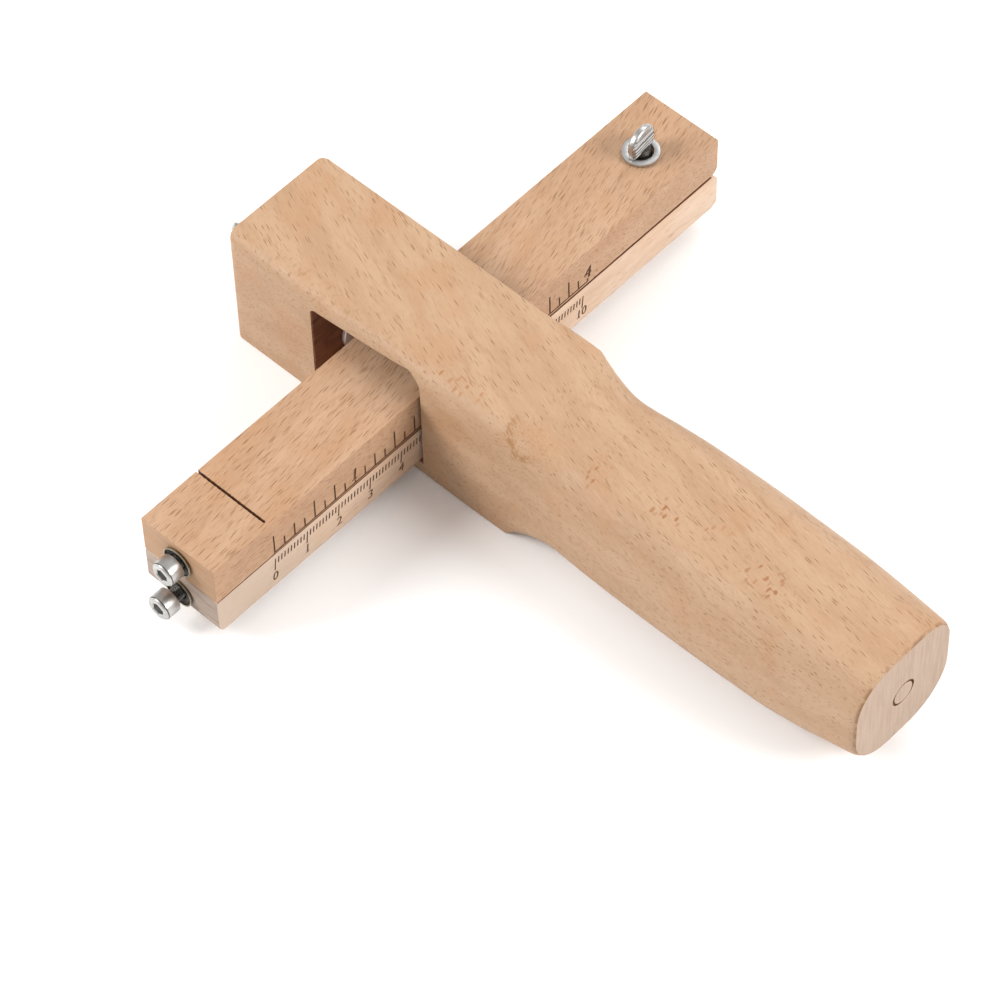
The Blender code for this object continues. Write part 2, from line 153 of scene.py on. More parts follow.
# ---------------------------------------------------------------- metal
CLAMP_THREAD_RADIUS = 1.75
CLAMP_HEAD_RADIUS = 3.15
CLAMP_HEAD_HEIGHT = 4.0
CLAMP_CHAMFER = 0.5
CLAMP_CHAMFER_LINE = (0.4, 0.65)    # painted shade line along its outer corner, from the front
CLAMP_SHANK_LENGTH = 17.4
CLAMP_SOCKET_RADIUS = 1.7
CLAMP_SOCKET_DEPTH = 2.0
CLAMP_PITCH = 0.6
CLAMP_INSERT_RADIUS = 3.0
CLAMP_INSERT_LENGTH = 11.0
CLAMP_BORE_RADIUS = 2.05
CLAMP_FLANGE_RADIUS = 4.05
FLANGE_FACE_X = -0.8            # from the bar's end
FLANGE_BACK_X = -0.3
CUP_DEPTH = 0.4
RIDGE_PITCH = 2.0               # of the ridges round an insert
CLAMP_HEAD_BACK_X = -1.1        # where a head with no standoff would end
UPPER_CLAMP_PLACE = (0.0, 21.0)
LOWER_CLAMP_PLACE = (0.8, 9.2)
UPPER_CLAMP_STANDOFF = 0.3
LOWER_CLAMP_STANDOFF = 1.9

THUMB_THREAD_RADIUS = 2.4
THUMB_PITCH = 0.8
THUMB_BORE_RADIUS = 2.7
SPADE_THICKNESS = 2.5
SPADE_HALF_WIDTH = 4.3
SPADE_BASE_HALF_WIDTH = 3.75
SPADE_WAIST = 3.3
SPADE_HEIGHT = 7.0
SPADE_EDGE = 0.75               # width of its rounded edge
SPADE_EDGE_DROP = 0.55
SPADE_RING_STEP = 0.13
SPADE_COLUMNS = 22
CROWN_STEPS = 18
RIB_PITCH = 1.08
RIB_COUNT = 5
RIB_FIRST = 0.85
RIB_RISE = 0.34
RIB_GROOVE = 0.3                # a groove starts this far from a rib's crest, in pitches

THICKNESS_PLACE = (70.0, -0.7)
THICKNESS_TURN = 6.0
WASHER_BOTTOM_Z = 27.55
WASHER_TOP_Z = 28.35
WASHER_RADIUS = 4.5
WASHER_BORE_RADIUS = 3.0
THICKNESS_BASE_Z = 28.65
THICKNESS_TIP_Z = 7.2
THICKNESS_INSERT_RADIUS = 4.0
THICKNESS_INSERT_Z = (5.6, 15.15)
LOCK_PLACE = (0.5, 55.5, 13.0)
LOCK_TURN = 50.0
LOCK_TIP_Y = 11.35
TEE_FLANGE_RADIUS = 7.7
TEE_FLANGE_HEIGHT = 1.2
TEE_BARREL_RADIUS = 3.6
TEE_BARREL_LENGTH = 10.0

SHARP_ANGLE = math.radians(32.0)
ROUND_STEPS = 48
THREAD_STEPS = 30


# ================================================================ shapes
def scaled(point):
    return Vector(point) * MM


def object_from(name, mesh_data, materials):
    bmesh.ops.recalc_face_normals(mesh_data, faces=mesh_data.faces)
    mesh = bpy.data.meshes.new(name)
    mesh_data.to_mesh(mesh)
    mesh_data.free()
    for material in materials:
        mesh.materials.append(material)
    piece = bpy.data.objects.new(name, mesh)
    bpy.context.scene.collection.objects.link(piece)
    return piece


def shade(piece):
    piece.data.shade_smooth()
    piece.data.set_sharp_from_angle(angle=SHARP_ANGLE)


def skin(rings, closed_ends=True, mesh_data=None):
    """Skin through rings of points (in millimetres) that all have the same count.

    With closed ends the skin is a solid; without them it comes back to its first ring.
    """
    mesh_data = mesh_data or bmesh.new()
    loops = [[mesh_data.verts.new(scaled(point)) for point in ring] for ring in rings]
    count = len(loops[0])
    pairs = list(zip(loops, loops[1:]))
    if not closed_ends:
        pairs.append((loops[-1], loops[0]))
    for first, second in pairs:
        for i in range(count):
            j = (i + 1) % count
            mesh_data.faces.new((first[i], first[j], second[j], second[i]))
    if closed_ends:
        mesh_data.faces.new(loops[0])
        mesh_data.faces.new(loops[-1])
    return mesh_data


def apply_modifiers(piece):
    """Replace a piece's mesh with what its modifiers make of it."""
    graph = bpy.context.evaluated_depsgraph_get()
    made = bpy.data.meshes.new_from_object(piece.evaluated_get(graph))
    old = piece.data
    piece.modifiers.clear()
    piece.data = made
    bpy.data.meshes.remove(old)


def cut(piece, cutters, operation="DIFFERENCE"):
    """Cut each cutter out of a piece (or join it on); the new faces keep the cutter's material."""
    for cutter in cutters:
        modifier = piece.modifiers.new(cutter.name, "BOOLEAN")
        modifier.operation = operation
        modifier.solver = "EXACT"
        modifier.material_mode = "TRANSFER"
        modifier.object = cutter
    apply_modifiers(piece)
    for cutter in cutters:
        mesh = cutter.data
        bpy.data.objects.remove(cutter)
        bpy.data.meshes.remove(mesh)


def bevel_bar(bar, joint_z):
    """Bevel a bar's sharp edges, only a little along the split between the bars."""
    mesh_data = bmesh.new()
    mesh_data.from_mesh(bar.data)
    weight = mesh_data.edges.layers.float.new("bevel_weight_edge")
    for edge in mesh_data.edges:
        if edge.calc_face_angle() > SHARP_ANGLE:
            middle_z = (edge.verts[0].co.z + edge.verts[1].co.z) / 2
            at_joint = abs(middle_z - joint_z * MM) < (UPPER_BAR_RISE + 0.4) * MM
            edge[weight] = BAR_JOINT_BEVEL / BAR_EDGE_BEVEL if at_joint else 1.0
    mesh_data.to_mesh(bar.data)
    mesh_data.free()
    modifier = bar.modifiers.new("edges", "BEVEL")
    modifier.width = BAR_EDGE_BEVEL * MM
    modifier.segments = 3
    modifier.limit_method = "WEIGHT"
    apply_modifiers(bar)


def arc(centre_u, centre_v, radius, start, stop, steps=CORNER_STEPS):
    angles = (math.radians(start + (stop - start) * i / steps) for i in range(steps + 1))
    return [(centre_u + radius * math.cos(a), centre_v + radius * math.sin(a)) for a in angles]


def turn_to(axis):
    return Vector((0, 0, 1)).rotation_difference(Vector(axis)).to_matrix()


def circle_rings(profile, axis, origin, segments=ROUND_STEPS):
    """Rings of a turned shape from (distance along the axis, radius) pairs."""
    turn = turn_to(axis)
    rings = []
    for along, radius in profile:
        angles = (2 * math.pi * i / segments for i in range(segments))
        rings.append([turn @ Vector((radius * math.cos(a), radius * math.sin(a), along))
                      + Vector(origin) for a in angles])
    return rings


def softened(profile, radius, closed=False):
    """Round each corner of a turned profile with a small arc of three points."""
    count = len(profile)
    result = []
    for i, point in enumerate(profile):
        here = Vector(point)
        if not closed and i in (0, count - 1):
            result.append(point)
            continue
        before = Vector(profile[i - 1]) - here
        after = Vector(profile[(i + 1) % count]) - here
        reach = min(radius, before.length * 0.4, after.length * 0.4)
        start = here + before.normalized() * reach
        stop = here + after.normalized() * reach
        middle = (start + stop) / 4 + here / 2
        result += [tuple(start), tuple(middle), tuple(stop)]
    return result


def turned(name, profile, axis, origin, materials, segments=ROUND_STEPS):
    piece = object_from(name, skin(circle_rings(profile, axis, origin, segments)), materials)
    shade(piece)
    return piece


def sleeve(name, profile, axis, origin, materials):
    """Turned ring with a bore: the profile goes round its section once."""
    rings = circle_rings(softened(profile, 0.18, closed=True), axis, origin)
    piece = object_from(name, skin(rings, closed_ends=False), materials)
    shade(piece)
    return piece


def thread_rings(start, stop, radius, pitch, axis, origin):
    """Rings of a screw thread from start to stop along the axis, with a tapered tip at stop."""
    turn = turn_to(axis)
    depth = 0.54 * pitch
    steps = round(abs(stop - start) / pitch * 8)
    rings = []
    for k in range(steps + 1):
        along = start + (stop - start) * k / steps
        from_tip = abs(stop - along)
        from_head = abs(along - start)
        tip_limit = radius - depth + from_tip
        run_out = min(1.0, max(0.0, (from_head - 0.3) / pitch))
        ring = []
        for i in range(THREAD_STEPS):
            angle = 2 * math.pi * i / THREAD_STEPS
            phase = (along / pitch - i / THREAD_STEPS) % 1.0
            crest = min(1.0, max(0.0, 1.3 * (1 - abs(2 * phase - 1)) - 0.1))
            r = min(tip_limit, radius - depth * (1 - crest) * run_out)
            ring.append(turn @ Vector((r * math.cos(angle), r * math.sin(angle), along))
                        + Vector(origin))
        rings.append(ring)
    return rings


def slab(outline, low, high, mesh_data=None):
    """Prism along Y of an outline in x and z."""
    rings = [[(x, y, z) for x, z in outline] for y in (low, high)]
    return skin(rings, mesh_data=mesh_data)


# ================================================================ handle
def smooth_table(rows):
    """Function that interpolates a table's columns over its first one, without overshoot."""
    rows = sorted(rows)
    keys = [row[0] for row in rows]

    def slopes(column):
        secants = [(b[column] - a[column]) / (b[0] - a[0]) for a, b in zip(rows, rows[1:])]
        inner = [2 * p * q / (p + q) if p * q > 0 else 0.0 for p, q in zip(secants, secants[1:])]
        return [secants[0]] + inner + [secants[-1]]

    tangents = [slopes(column) for column in range(1, len(rows[0]))]

    def sample(key):
        i = 0
        while i < len(keys) - 2 and key > keys[i + 1]:
            i += 1
        span = keys[i + 1] - keys[i]
        t = (key - keys[i]) / span
        values = []
        for column, slope in enumerate(tangents, start=1):
            low = rows[i][column]
            high = rows[i + 1][column]
            rise = low + (high - low) * t * t * (3 - 2 * t)
            lean = slope[i] * t * (1 - t) ** 2 - slope[i + 1] * t * t * (1 - t)
            values.append(rise + lean * span)
        return values
    return sample


def rounded_section(y, front, back, bottom, top, back_radius, front_radius, low_radius):
    corners = (
        (back - back_radius, top - back_radius, back_radius, 0.0),
        (front + front_radius, top - front_radius, front_radius, 90.0),
        (front + low_radius, bottom + low_radius, low_radius, 180.0),
        (back - low_radius, bottom + low_radius, low_radius, 270.0),
    )
    outline = []
    for centre_x, centre_z, radius, start in corners:
        outline += arc(centre_x, centre_z, radius, start, start + 90.0)
    return [(x, y, z) for x, z in outline]


def handle_rings():
    sample = smooth_table(HANDLE_SECTIONS)
    rings = []
    for first, second in zip(HANDLE_SECTIONS, HANDLE_SECTIONS[1:]):
        steps = max(2, math.ceil((first[0] - second[0]) / RING_SPACING))
        for i in range(steps):
            y = first[0] + (second[0] - first[0]) * i / steps
            rings.append(rounded_section(y, *sample(y)))
    rings.append(rounded_section(*HANDLE_SECTIONS[-1]))
    return rings


def slot_outline(grow):
    """Slot section seen along the crossbar, grown outwards by a distance."""
    far = SLOT_FAR_RADIUS
    near = SLOT_NEAR_RADIUS
    far_corner = arc(SLOT_FAR_Y - far, SLOT_TOP_FAR_Z - far, far + grow, 0.0, SLOT_SLOPE)
    near_corner = arc(SLOT_NEAR_Y + near, SLOT_TOP_NEAR_Z - near, near + grow, SLOT_SLOPE, 180.0)
    floor = [(SLOT_NEAR_Y - grow, SLOT_FLOOR_Z - grow), (SLOT_FAR_Y + grow, SLOT_FLOOR_Z - grow)]
    return floor + far_corner + near_corner


def slot_cutter(burnt):
    """The slot with a small chamfer at each mouth."""
    mouth = abs(HEAD_FRONT_X)
    over = 3.0
    places = [(-mouth - over, over + SLOT_MOUTH), (-mouth + SLOT_MOUTH, 0.0),
              (mouth - SLOT_MOUTH, 0.0), (mouth + over, over + SLOT_MOUTH)]
    rings = [[(x, y, z) for y, z in slot_outline(grow)] for x, grow in places]
    return object_from("slot_cutter", skin(rings), [burnt])


def make_handle(wood, burnt):
    # Its second material is the slot wall's: cutter burn with painted shade in the slot, the bore and
    # the butt's groove
    handle = object_from("handle_wood_body", skin(handle_rings()), [wood, burnt])
    barrel = TEE_BARREL_RADIUS + INSERT_CLEARANCE
    barrel_end = SLOT_FAR_Y + TEE_BARREL_LENGTH + INSERT_CLEARANCE
    bore = [
        (SLOT_FAR_Y - CUT_OVER, barrel),
        (barrel_end, barrel),
        (barrel_end, THUMB_BORE_RADIUS),
        (HEAD_END_Y - 0.4, THUMB_BORE_RADIUS),
        (HEAD_END_Y + CUT_OVER, THUMB_BORE_RADIUS + 2.4),
    ]
    origin = (LOCK_PLACE[0], 0, LOCK_PLACE[2])
    bore_cutter = turned("bore_cutter", bore, (0, 1, 0), origin, [burnt])
    cut(handle, [slot_cutter(burnt), bore_cutter, butt_ring_cutter(burnt)])
    shade(handle)
    return handle


def butt_ring_cutter(burnt):
    """Circular groove that is wide on two sides and fades between them."""
    centre_x, centre_z = BUTT_RING_CENTRE
    outside = BUTT_Y - 1.0
    bottom = BUTT_Y + BUTT_RING_DEPTH
    rings = []
    for side, y, narrow in ((-1, outside, 1.0), (1, outside, 1.0), (1, bottom, 0.5), (-1, bottom, 0.5)):
        ring = []
        for i in range(ROUND_STEPS):
            angle = 2 * math.pi * i / ROUND_STEPS
            share = 0.25 + 0.75 * math.cos(angle - math.radians(BUTT_RING_TURN)) ** 2
            radius = BUTT_RING_RADIUS + side * narrow * share * BUTT_RING_WIDTH / 2
            ring.append((centre_x + radius * math.cos(angle), y, centre_z + radius * math.sin(angle)))
        rings.append(ring)
    return object_from("groove_cutter", skin(rings, closed_ends=False), [burnt])


# ================================================================ bars
def mark_split_shade(bar, side):
    """Give the face along the split, which looks up (side 1) or down (side -1), the third material:
    painted shade that darkens the joint between the bars.
    """
    top = max(face.center.z * side for face in bar.data.polygons)
    for face in bar.data.polygons:
        near = face.center.z * side > top - (UPPER_BAR_RISE + 0.15) * MM
        if near and face.normal.z * side > 0.99:
            face.material_index = 2


def bar_body(name, bottom, top, near_low_radius, high_radius, rise, joint_z, materials):
    """Bar seen from the side, with softly rounded ends and bevelled long edges."""
    low = near_low_radius
    end = BAR_END_RADIUS
    small = BAR_SMALL_RADIUS
    outline = arc(BAR_NEAR_X + low, bottom + low, low, 180.0, 270.0)
    outline += arc(BAR_FAR_X - end, bottom + rise + end, end, 270.0, 360.0)
    outline += arc(BAR_FAR_X - high_radius, top + rise - high_radius, high_radius, 0.0, 90.0)
    outline += arc(BAR_NEAR_X + small, top - small, small, 90.0, 180.0)
    bar = object_from(name, slab(outline, -BAR_HALF_WIDTH, BAR_HALF_WIDTH), materials)
    bevel_bar(bar, joint_z)
    return bar


def kerf_cutter(burnt, bottom, top):
    """Saw kerf whose walls waver a little, as the teeth left them."""
    start = -BAR_HALF_WIDTH + KERF_WEB
    length = 2 * BAR_HALF_WIDTH + CUT_OVER
    ys = [start + length * i / KERF_STEPS for i in range(KERF_STEPS + 1)]
    half = KERF_WIDTH / 2

    def waver(y, shift):
        return 0.035 * math.sin(4.1 * y + shift) + 0.025 * math.sin(9.7 * y + 2 * shift)

    left = [(KERF_X - half + waver(y, 0.4), y) for y in ys[1:]]
    right = [(KERF_X + half + waver(y, 2.1), y) for y in ys[1:]]
    outline = [(KERF_X - 0.4 * half, start)] + left + right[::-1] + [(KERF_X + 0.4 * half, start)]
    rings = [[(x, y, z) for x, y in outline] for z in (bottom - KERF_OVER, top + KERF_OVER)]
    return object_from("kerf_cutter", skin(rings), [burnt])


def clamp_cutter(burnt, place):
    pocket = CLAMP_INSERT_RADIUS + INSERT_CLEARANCE
    pocket_end = CLAMP_INSERT_LENGTH + INSERT_CLEARANCE
    bore = [
        (-CUT_OVER, pocket),
        (pocket_end, pocket),
        (pocket_end, CLAMP_BORE_RADIUS),
        (KERF_X - BAR_NEAR_X, CLAMP_BORE_RADIUS),
    ]
    return turned("clamp_cutter", bore, (1, 0, 0), (BAR_NEAR_X, *place), [burnt])


def burn(mesh_data, outline, depth=BURN_DEPTH):
    """Cutter for an outline that is burnt into the bars' grip side."""
    slab(outline, -BAR_HALF_WIDTH - BURN_OVER, -BAR_HALF_WIDTH + depth, mesh_data)


def tick(mesh_data, x, top, bottom, lean, width):
    """One burnt line whose foot leans towards the blade end."""
    half = width / 2
    outline = [(x - half - lean, bottom), (x + half - lean, bottom), (x + half, top), (x - half, top)]
    burn(mesh_data, outline)


def number_cutters(texts, height, strike, ink):
    """Cutters in the shape of numbers that stand on the grip side; texts holds (text, x, low z)."""
    cutters = []
    for text, middle_x, low, side in [(*entry, side) for entry in texts for side in (-1, 1)]:
        x = middle_x + side * strike
        curve = bpy.data.curves.new("number", "FONT")
        curve.body = text
        curve.extrude = BURN_OVER
        curve.resolution_u = 3
        curve.shear = NUMBER_SLANT
        shown = bpy.data.objects.new("number", curve)
        bpy.context.scene.collection.objects.link(shown)
        bpy.context.view_layer.update()
        graph = bpy.context.evaluated_depsgraph_get()
        mesh = bpy.data.meshes.new_from_object(shown.evaluated_get(graph))
        bpy.data.objects.remove(shown)
        bpy.data.curves.remove(curve)
        mesh_data = bmesh.new()
        mesh_data.from_mesh(mesh)
        bpy.data.meshes.remove(mesh)
        bmesh.ops.remove_doubles(mesh_data, verts=mesh_data.verts, dist=0.00001)
        fit_number(mesh_data, x, low, height)
        if text.startswith("1"):
            cutters.append(foot_cutter(mesh_data, text, x, low, height, ink))
        cutters.append(object_from("number_cutter", mesh_data, [ink]))
    return cutters


def foot_cutter(mesh_data, text, x, low, height, ink):
    """Short line under the stem of a 1."""
    limit = (low + 0.1 * height) * MM
    reach = x * MM if len(text) > 1 else math.inf
    stem = [v.co.x for v in mesh_data.verts if v.co.z < limit and v.co.x < reach]
    centre = (max(stem) + min(stem)) / 2 / MM
    half, thick = (share * height for share in NUMBER_FOOT)
    foot = bmesh.new()
    tick(foot, centre, low + 2 * thick, low, 0.0, 2 * half)
    return object_from("foot_cutter", foot, [ink])


def fit_number(mesh_data, x, low, height):
    """Scale a flat number to its height and stand it on the grip side, x at its middle."""
    across = [vertex.co.x for vertex in mesh_data.verts]
    upward = [vertex.co.y for vertex in mesh_data.verts]
    middle = (max(across) + min(across)) / 2
    scale = height / (max(upward) - min(upward))
    for vertex in mesh_data.verts:
        side = (vertex.co.x - middle) * scale * DIGIT_SPREAD
        rise = (vertex.co.y - min(upward)) * scale
        front = vertex.co.z > 0
        deep = -BAR_HALF_WIDTH + (-BURN_OVER if front else BURN_DEPTH)
        vertex.co = scaled((x + side, deep, low + rise))


def millimetre_scale(ink):
    """Centimetre and millimetre ticks, numbered 0 to 10, on the lower bar."""
    ticks = bmesh.new()
    numbers = []
    for i in range(101):
        x = SCALE_ZERO_X + i
        top = CM_TOP_Z - SCALE_DROP * i / 100
        whole = i % 10 == 0
        length = CM_TICK if whole else MM_TICK
        lean = TICK_LEAN if whole else TICK_LEAN / 2
        tick(ticks, x, top, top - length, lean, TICK_WIDTH)
        if whole:
            low = CM_DIGIT_TOP_Z - CM_DIGIT_HEIGHT - CM_DIGIT_DROP * i / 100
            numbers.append((str(i // 10), x - CM_DIGIT_SHIFT, low))
    cutters = number_cutters(numbers, CM_DIGIT_HEIGHT, CM_STRIKE, ink)
    return [object_from("tick_cutter", ticks, [ink])] + cutters


def inch_scale(ink):
    """Eighths of an inch up from a base line, numbered 1 to 4, on the upper bar."""
    ticks = bmesh.new()
    base = bmesh.new()
    numbers = []
    last_x = SCALE_ZERO_X + INCH * EIGHTHS / 8
    half = INCH_LINE_WIDTH / 2
    ends = ((SCALE_ZERO_X - half, INCH_BASE_Z), (last_x, INCH_BASE_Z + INCH_BASE_RISE))
    outline = [(x, z - half) for x, z in ends] + [(x, z + half) for x, z in reversed(ends)]
    burn(base, outline, BURN_DEPTH * 0.9)
    for eighth in range(EIGHTHS + 1):
        x = SCALE_ZERO_X + eighth * INCH / 8
        low = INCH_BASE_Z + INCH_BASE_RISE * eighth / EIGHTHS
        length = EIGHTH_TICKS[eighth % 8]
        if eighth > 0 and eighth % 8 == 0:
            length = NUMBERED_TICK
            numbers.append((str(eighth // 8), x, low + INCH_DIGIT_LIFT))
        tick(ticks, x, low + length, low, 0.0, INCH_LINE_WIDTH)
    cutters = [object_from("tick_cutter", ticks, [ink]), object_from("base_cutter", base, [ink])]
    return cutters + number_cutters(numbers, INCH_DIGIT_HEIGHT, INCH_STRIKE, ink)


def make_lower_bar(wood, burnt, split_shade, ink):
    bar = bar_body("lower_bar_body", LOWER_BAR_BOTTOM_Z, LOWER_BAR_TOP_Z, BAR_END_RADIUS,
                   BAR_END_RADIUS, 0.0, LOWER_BAR_TOP_Z, [wood, burnt, split_shade, ink])
    # The split's faces are painted dark as shade in the joint
    mark_split_shade(bar, 1)
    pocket_radius = THICKNESS_INSERT_RADIUS + INSERT_CLEARANCE
    pocket = [(THICKNESS_INSERT_Z[0] - INSERT_CLEARANCE, pocket_radius),
              (LOWER_BAR_TOP_Z + CUT_OVER, pocket_radius)]
    pocket_cutter = turned("pocket_cutter", pocket, (0, 0, 1), (*THICKNESS_PLACE, 0), [burnt])
    cut(bar, [kerf_cutter(burnt, LOWER_BAR_BOTTOM_Z, LOWER_BAR_TOP_Z),
              clamp_cutter(burnt, LOWER_CLAMP_PLACE), pocket_cutter] + millimetre_scale(ink))
    shade(bar)
    return bar


def make_upper_bar(wood, burnt, split_shade, ink):
    bar = bar_body("upper_bar_body", UPPER_BAR_BOTTOM_Z, UPPER_BAR_TOP_Z, BAR_SMALL_RADIUS,
                   BAR_SMALL_RADIUS, UPPER_BAR_RISE, UPPER_BAR_BOTTOM_Z, [wood, burnt, split_shade, ink])
    mark_split_shade(bar, -1)
    hole = [(UPPER_BAR_BOTTOM_Z - CUT_OVER, THUMB_BORE_RADIUS),
            (WASHER_TOP_Z + CUT_OVER, THUMB_BORE_RADIUS)]
    hole_cutter = turned("hole_cutter", hole, (0, 0, 1), (*THICKNESS_PLACE, 0), [burnt])
    cut(bar, [kerf_cutter(burnt, UPPER_BAR_BOTTOM_Z, UPPER_BAR_TOP_Z),
              clamp_cutter(burnt, UPPER_CLAMP_PLACE), hole_cutter] + inch_scale(ink))
    shade(bar)
    return bar


# ================================================================ metal pieces
def ridges(start, count, radius, depth):
    """Profile of the ridges round an insert: each one rises, runs level and falls."""
    profile = []
    for ridge in range(count):
        along = start + RIDGE_PITCH * ridge
        profile += [(along, radius - depth), (along + 0.5, radius)]
        profile += [(along + 1.0, radius), (along + 1.5, radius - depth)]
    return profile


def make_clamp_insert(name, place, zinc, dark):
    """Threaded insert whose flange is a shallow cup with a thin bright rim; the inside of the cup is
    painted dark as shade.
    """
    face = FLANGE_FACE_X
    rim = CLAMP_FLANGE_RADIUS
    grip = CLAMP_INSERT_RADIUS
    profile = [
        (face + CUP_DEPTH, CLAMP_BORE_RADIUS),
        (face + CUP_DEPTH, rim - 0.4),
        (face, rim - 0.3),
        (face, rim),
        (FLANGE_BACK_X, rim),
        (FLANGE_BACK_X, grip - 0.25),
    ]
    profile += ridges(0.8, 5, grip, 0.25)
    profile += [(CLAMP_INSERT_LENGTH, grip - 0.5), (CLAMP_INSERT_LENGTH, CLAMP_BORE_RADIUS)]
    insert = sleeve(name, profile, (1, 0, 0), (BAR_NEAR_X, *place), [zinc, dark])
    # Faces inside the cup take the second material: painted shade.
    centre = scaled((0, *place))
    for polygon in insert.data.polygons:
        off_axis = polygon.center - centre
        off_axis.x = 0.0
        in_cup = off_axis.length < (rim - 0.33) * MM
        polygon.material_index = 1 if in_cup else 0
    return insert


def make_clamp_screw(name, place, standoff, zinc, dark):
    """Socket-head screw: turned head, cut thread and a hexagonal socket."""
    back = CLAMP_HEAD_BACK_X - standoff
    front = back - CLAMP_HEAD_HEIGHT
    radius = CLAMP_HEAD_RADIUS
    head = softened([
        (front, 0.4),
        (front, radius - CLAMP_CHAMFER),
        (front + CLAMP_CHAMFER, radius),
        (back, radius),
        (back, CLAMP_THREAD_RADIUS),
        (back + 0.1, CLAMP_THREAD_RADIUS),
    ], 0.16)
    origin = (BAR_NEAR_X, *place)
    rings = circle_rings(head, (1, 0, 0), origin, THREAD_STEPS)
    rings += thread_rings(back + 0.2, back + CLAMP_SHANK_LENGTH, CLAMP_THREAD_RADIUS, CLAMP_PITCH,
                          (1, 0, 0), origin)
    screw = object_from(name, skin(rings), [zinc, dark])
    # The thread and the line along the chamfer take the second material: painted shade.
    for face in screw.data.polygons:
        from_front = face.center.x / MM - BAR_NEAR_X - front
        on_corner = CLAMP_CHAMFER_LINE[0] < from_front < CLAMP_CHAMFER_LINE[1]
        on_thread = from_front > CLAMP_HEAD_HEIGHT + 0.05
        face.material_index = 1 if on_corner or on_thread else 0
    mouth = CLAMP_SOCKET_RADIUS
    socket = [(front - 0.5, mouth + 0.75), (front + 0.25, mouth), (front + CLAMP_SOCKET_DEPTH, mouth),
              (front + CLAMP_SOCKET_DEPTH + 0.7, 0.3)]
    cutter = object_from("socket_cutter", skin(circle_rings(socket, (1, 0, 0), origin, 6)), [zinc])
    cut(screw, [cutter])
    shade(screw)
    return screw


def spade_half_width(height):
    if height <= SPADE_WAIST:
        share = height / SPADE_WAIST
        return SPADE_BASE_HALF_WIDTH + (SPADE_HALF_WIDTH - SPADE_BASE_HALF_WIDTH) * share
    share = min(1.0, (height - SPADE_WAIST) / (SPADE_HEIGHT - SPADE_WAIST))
    return SPADE_HALF_WIDTH * math.sqrt(max(0.0, 1 - share * share))


def spade_depth(x, height):
    """Half thickness of a spade head at a place on its face, with its ribs and round edges."""
    if height <= SPADE_WAIST:
        inside = spade_half_width(height) - abs(x)
    else:
        up = (height - SPADE_WAIST) / (SPADE_HEIGHT - SPADE_WAIST)
        inside = (1 - math.hypot(x / SPADE_HALF_WIDTH, up)) * SPADE_HALF_WIDTH
    inside = min(inside, height + 0.15)
    share = min(1.0, max(0.0, inside / SPADE_EDGE))
    body = SPADE_THICKNESS / 2 - RIB_RISE
    depth = body - SPADE_EDGE_DROP * (1 - math.sqrt(1 - (1 - share) ** 2))
    for rib in range(RIB_COUNT):
        away = abs(height - RIB_FIRST - RIB_PITCH * rib)
        crest = max(0.0, 1 - away / (0.5 * RIB_PITCH))
        fade = min(1.0, max(0.0, (inside - 0.35) / 0.4))
        depth += RIB_RISE * fade * crest
    return depth


def spade_rings():
    """Level rings of points round a spade head, from its base to its crown."""
    heights = [SPADE_RING_STEP * i for i in range(int(SPADE_WAIST / SPADE_RING_STEP) + 1)]
    crown = SPADE_HEIGHT - SPADE_WAIST
    heights += [SPADE_WAIST + crown * math.sin(math.radians(88.0) * i / CROWN_STEPS)
                for i in range(1, CROWN_STEPS + 1)]
    sweep = [math.sin(math.pi / 2 * (2 * i / SPADE_COLUMNS - 1)) for i in range(SPADE_COLUMNS + 1)]
    rings = []
    for height in heights:
        width = spade_half_width(height)
        across = [width * share for share in sweep]
        front = [(x, -spade_depth(x, height), height) for x in across]
        back = [(x, spade_depth(x, height), height) for x in reversed(across)]
        rings.append(front + back)
    return rings


def mark_grooves(screw, index):
    """Give the grooves between a spade head's ribs a darker material of their own: painted shade in the
    grooves.
    """
    last = RIB_FIRST + RIB_PITCH * (RIB_COUNT - 0.5)
    for face in screw.data.polygons:
        height = face.center.z / MM
        from_rib = abs((height - RIB_FIRST + RIB_PITCH / 2) % RIB_PITCH - RIB_PITCH / 2)
        on_side = abs(face.normal.y) > 0.5
        if on_side and RIB_FIRST < height < last and from_rib > RIB_GROOVE * RIB_PITCH:
            face.material_index = index


def make_thumbscrew(name, shank_length, matrix, zinc, dark, groove):
    """Spade-head thumbscrew: ribbed head joined to a cut thread, placed by a matrix."""
    screw = object_from(name, skin(spade_rings()), [zinc, dark, groove])
    mark_grooves(screw, 2)
    collar = [(1.0, 0.3), (1.0, 2.0), (0.05, THUMB_THREAD_RADIUS), (-0.1, THUMB_THREAD_RADIUS)]
    rings = circle_rings(collar, (0, 0, 1), (0, 0, 0), THREAD_STEPS)
    rings += thread_rings(-0.2, -shank_length, THUMB_THREAD_RADIUS, THUMB_PITCH,
                          (0, 0, 1), (0, 0, 0))
    # The collar and thread take the dark material: painted shade in the bore.
    shank = object_from("shank", skin(rings), [dark])
    cut(screw, [shank], "UNION")
    screw.data.transform(matrix)
    shade(screw)
    return screw


def make_thickness_thumbscrew(zinc, dark, groove):
    place = Matrix.Translation(scaled((*THICKNESS_PLACE, THICKNESS_BASE_Z)))
    turn = Matrix.Rotation(math.radians(THICKNESS_TURN), 4, "Z")
    length = THICKNESS_BASE_Z - THICKNESS_TIP_Z
    return make_thumbscrew("thickness_thumbscrew_body", length, place @ turn, zinc, dark, groove)


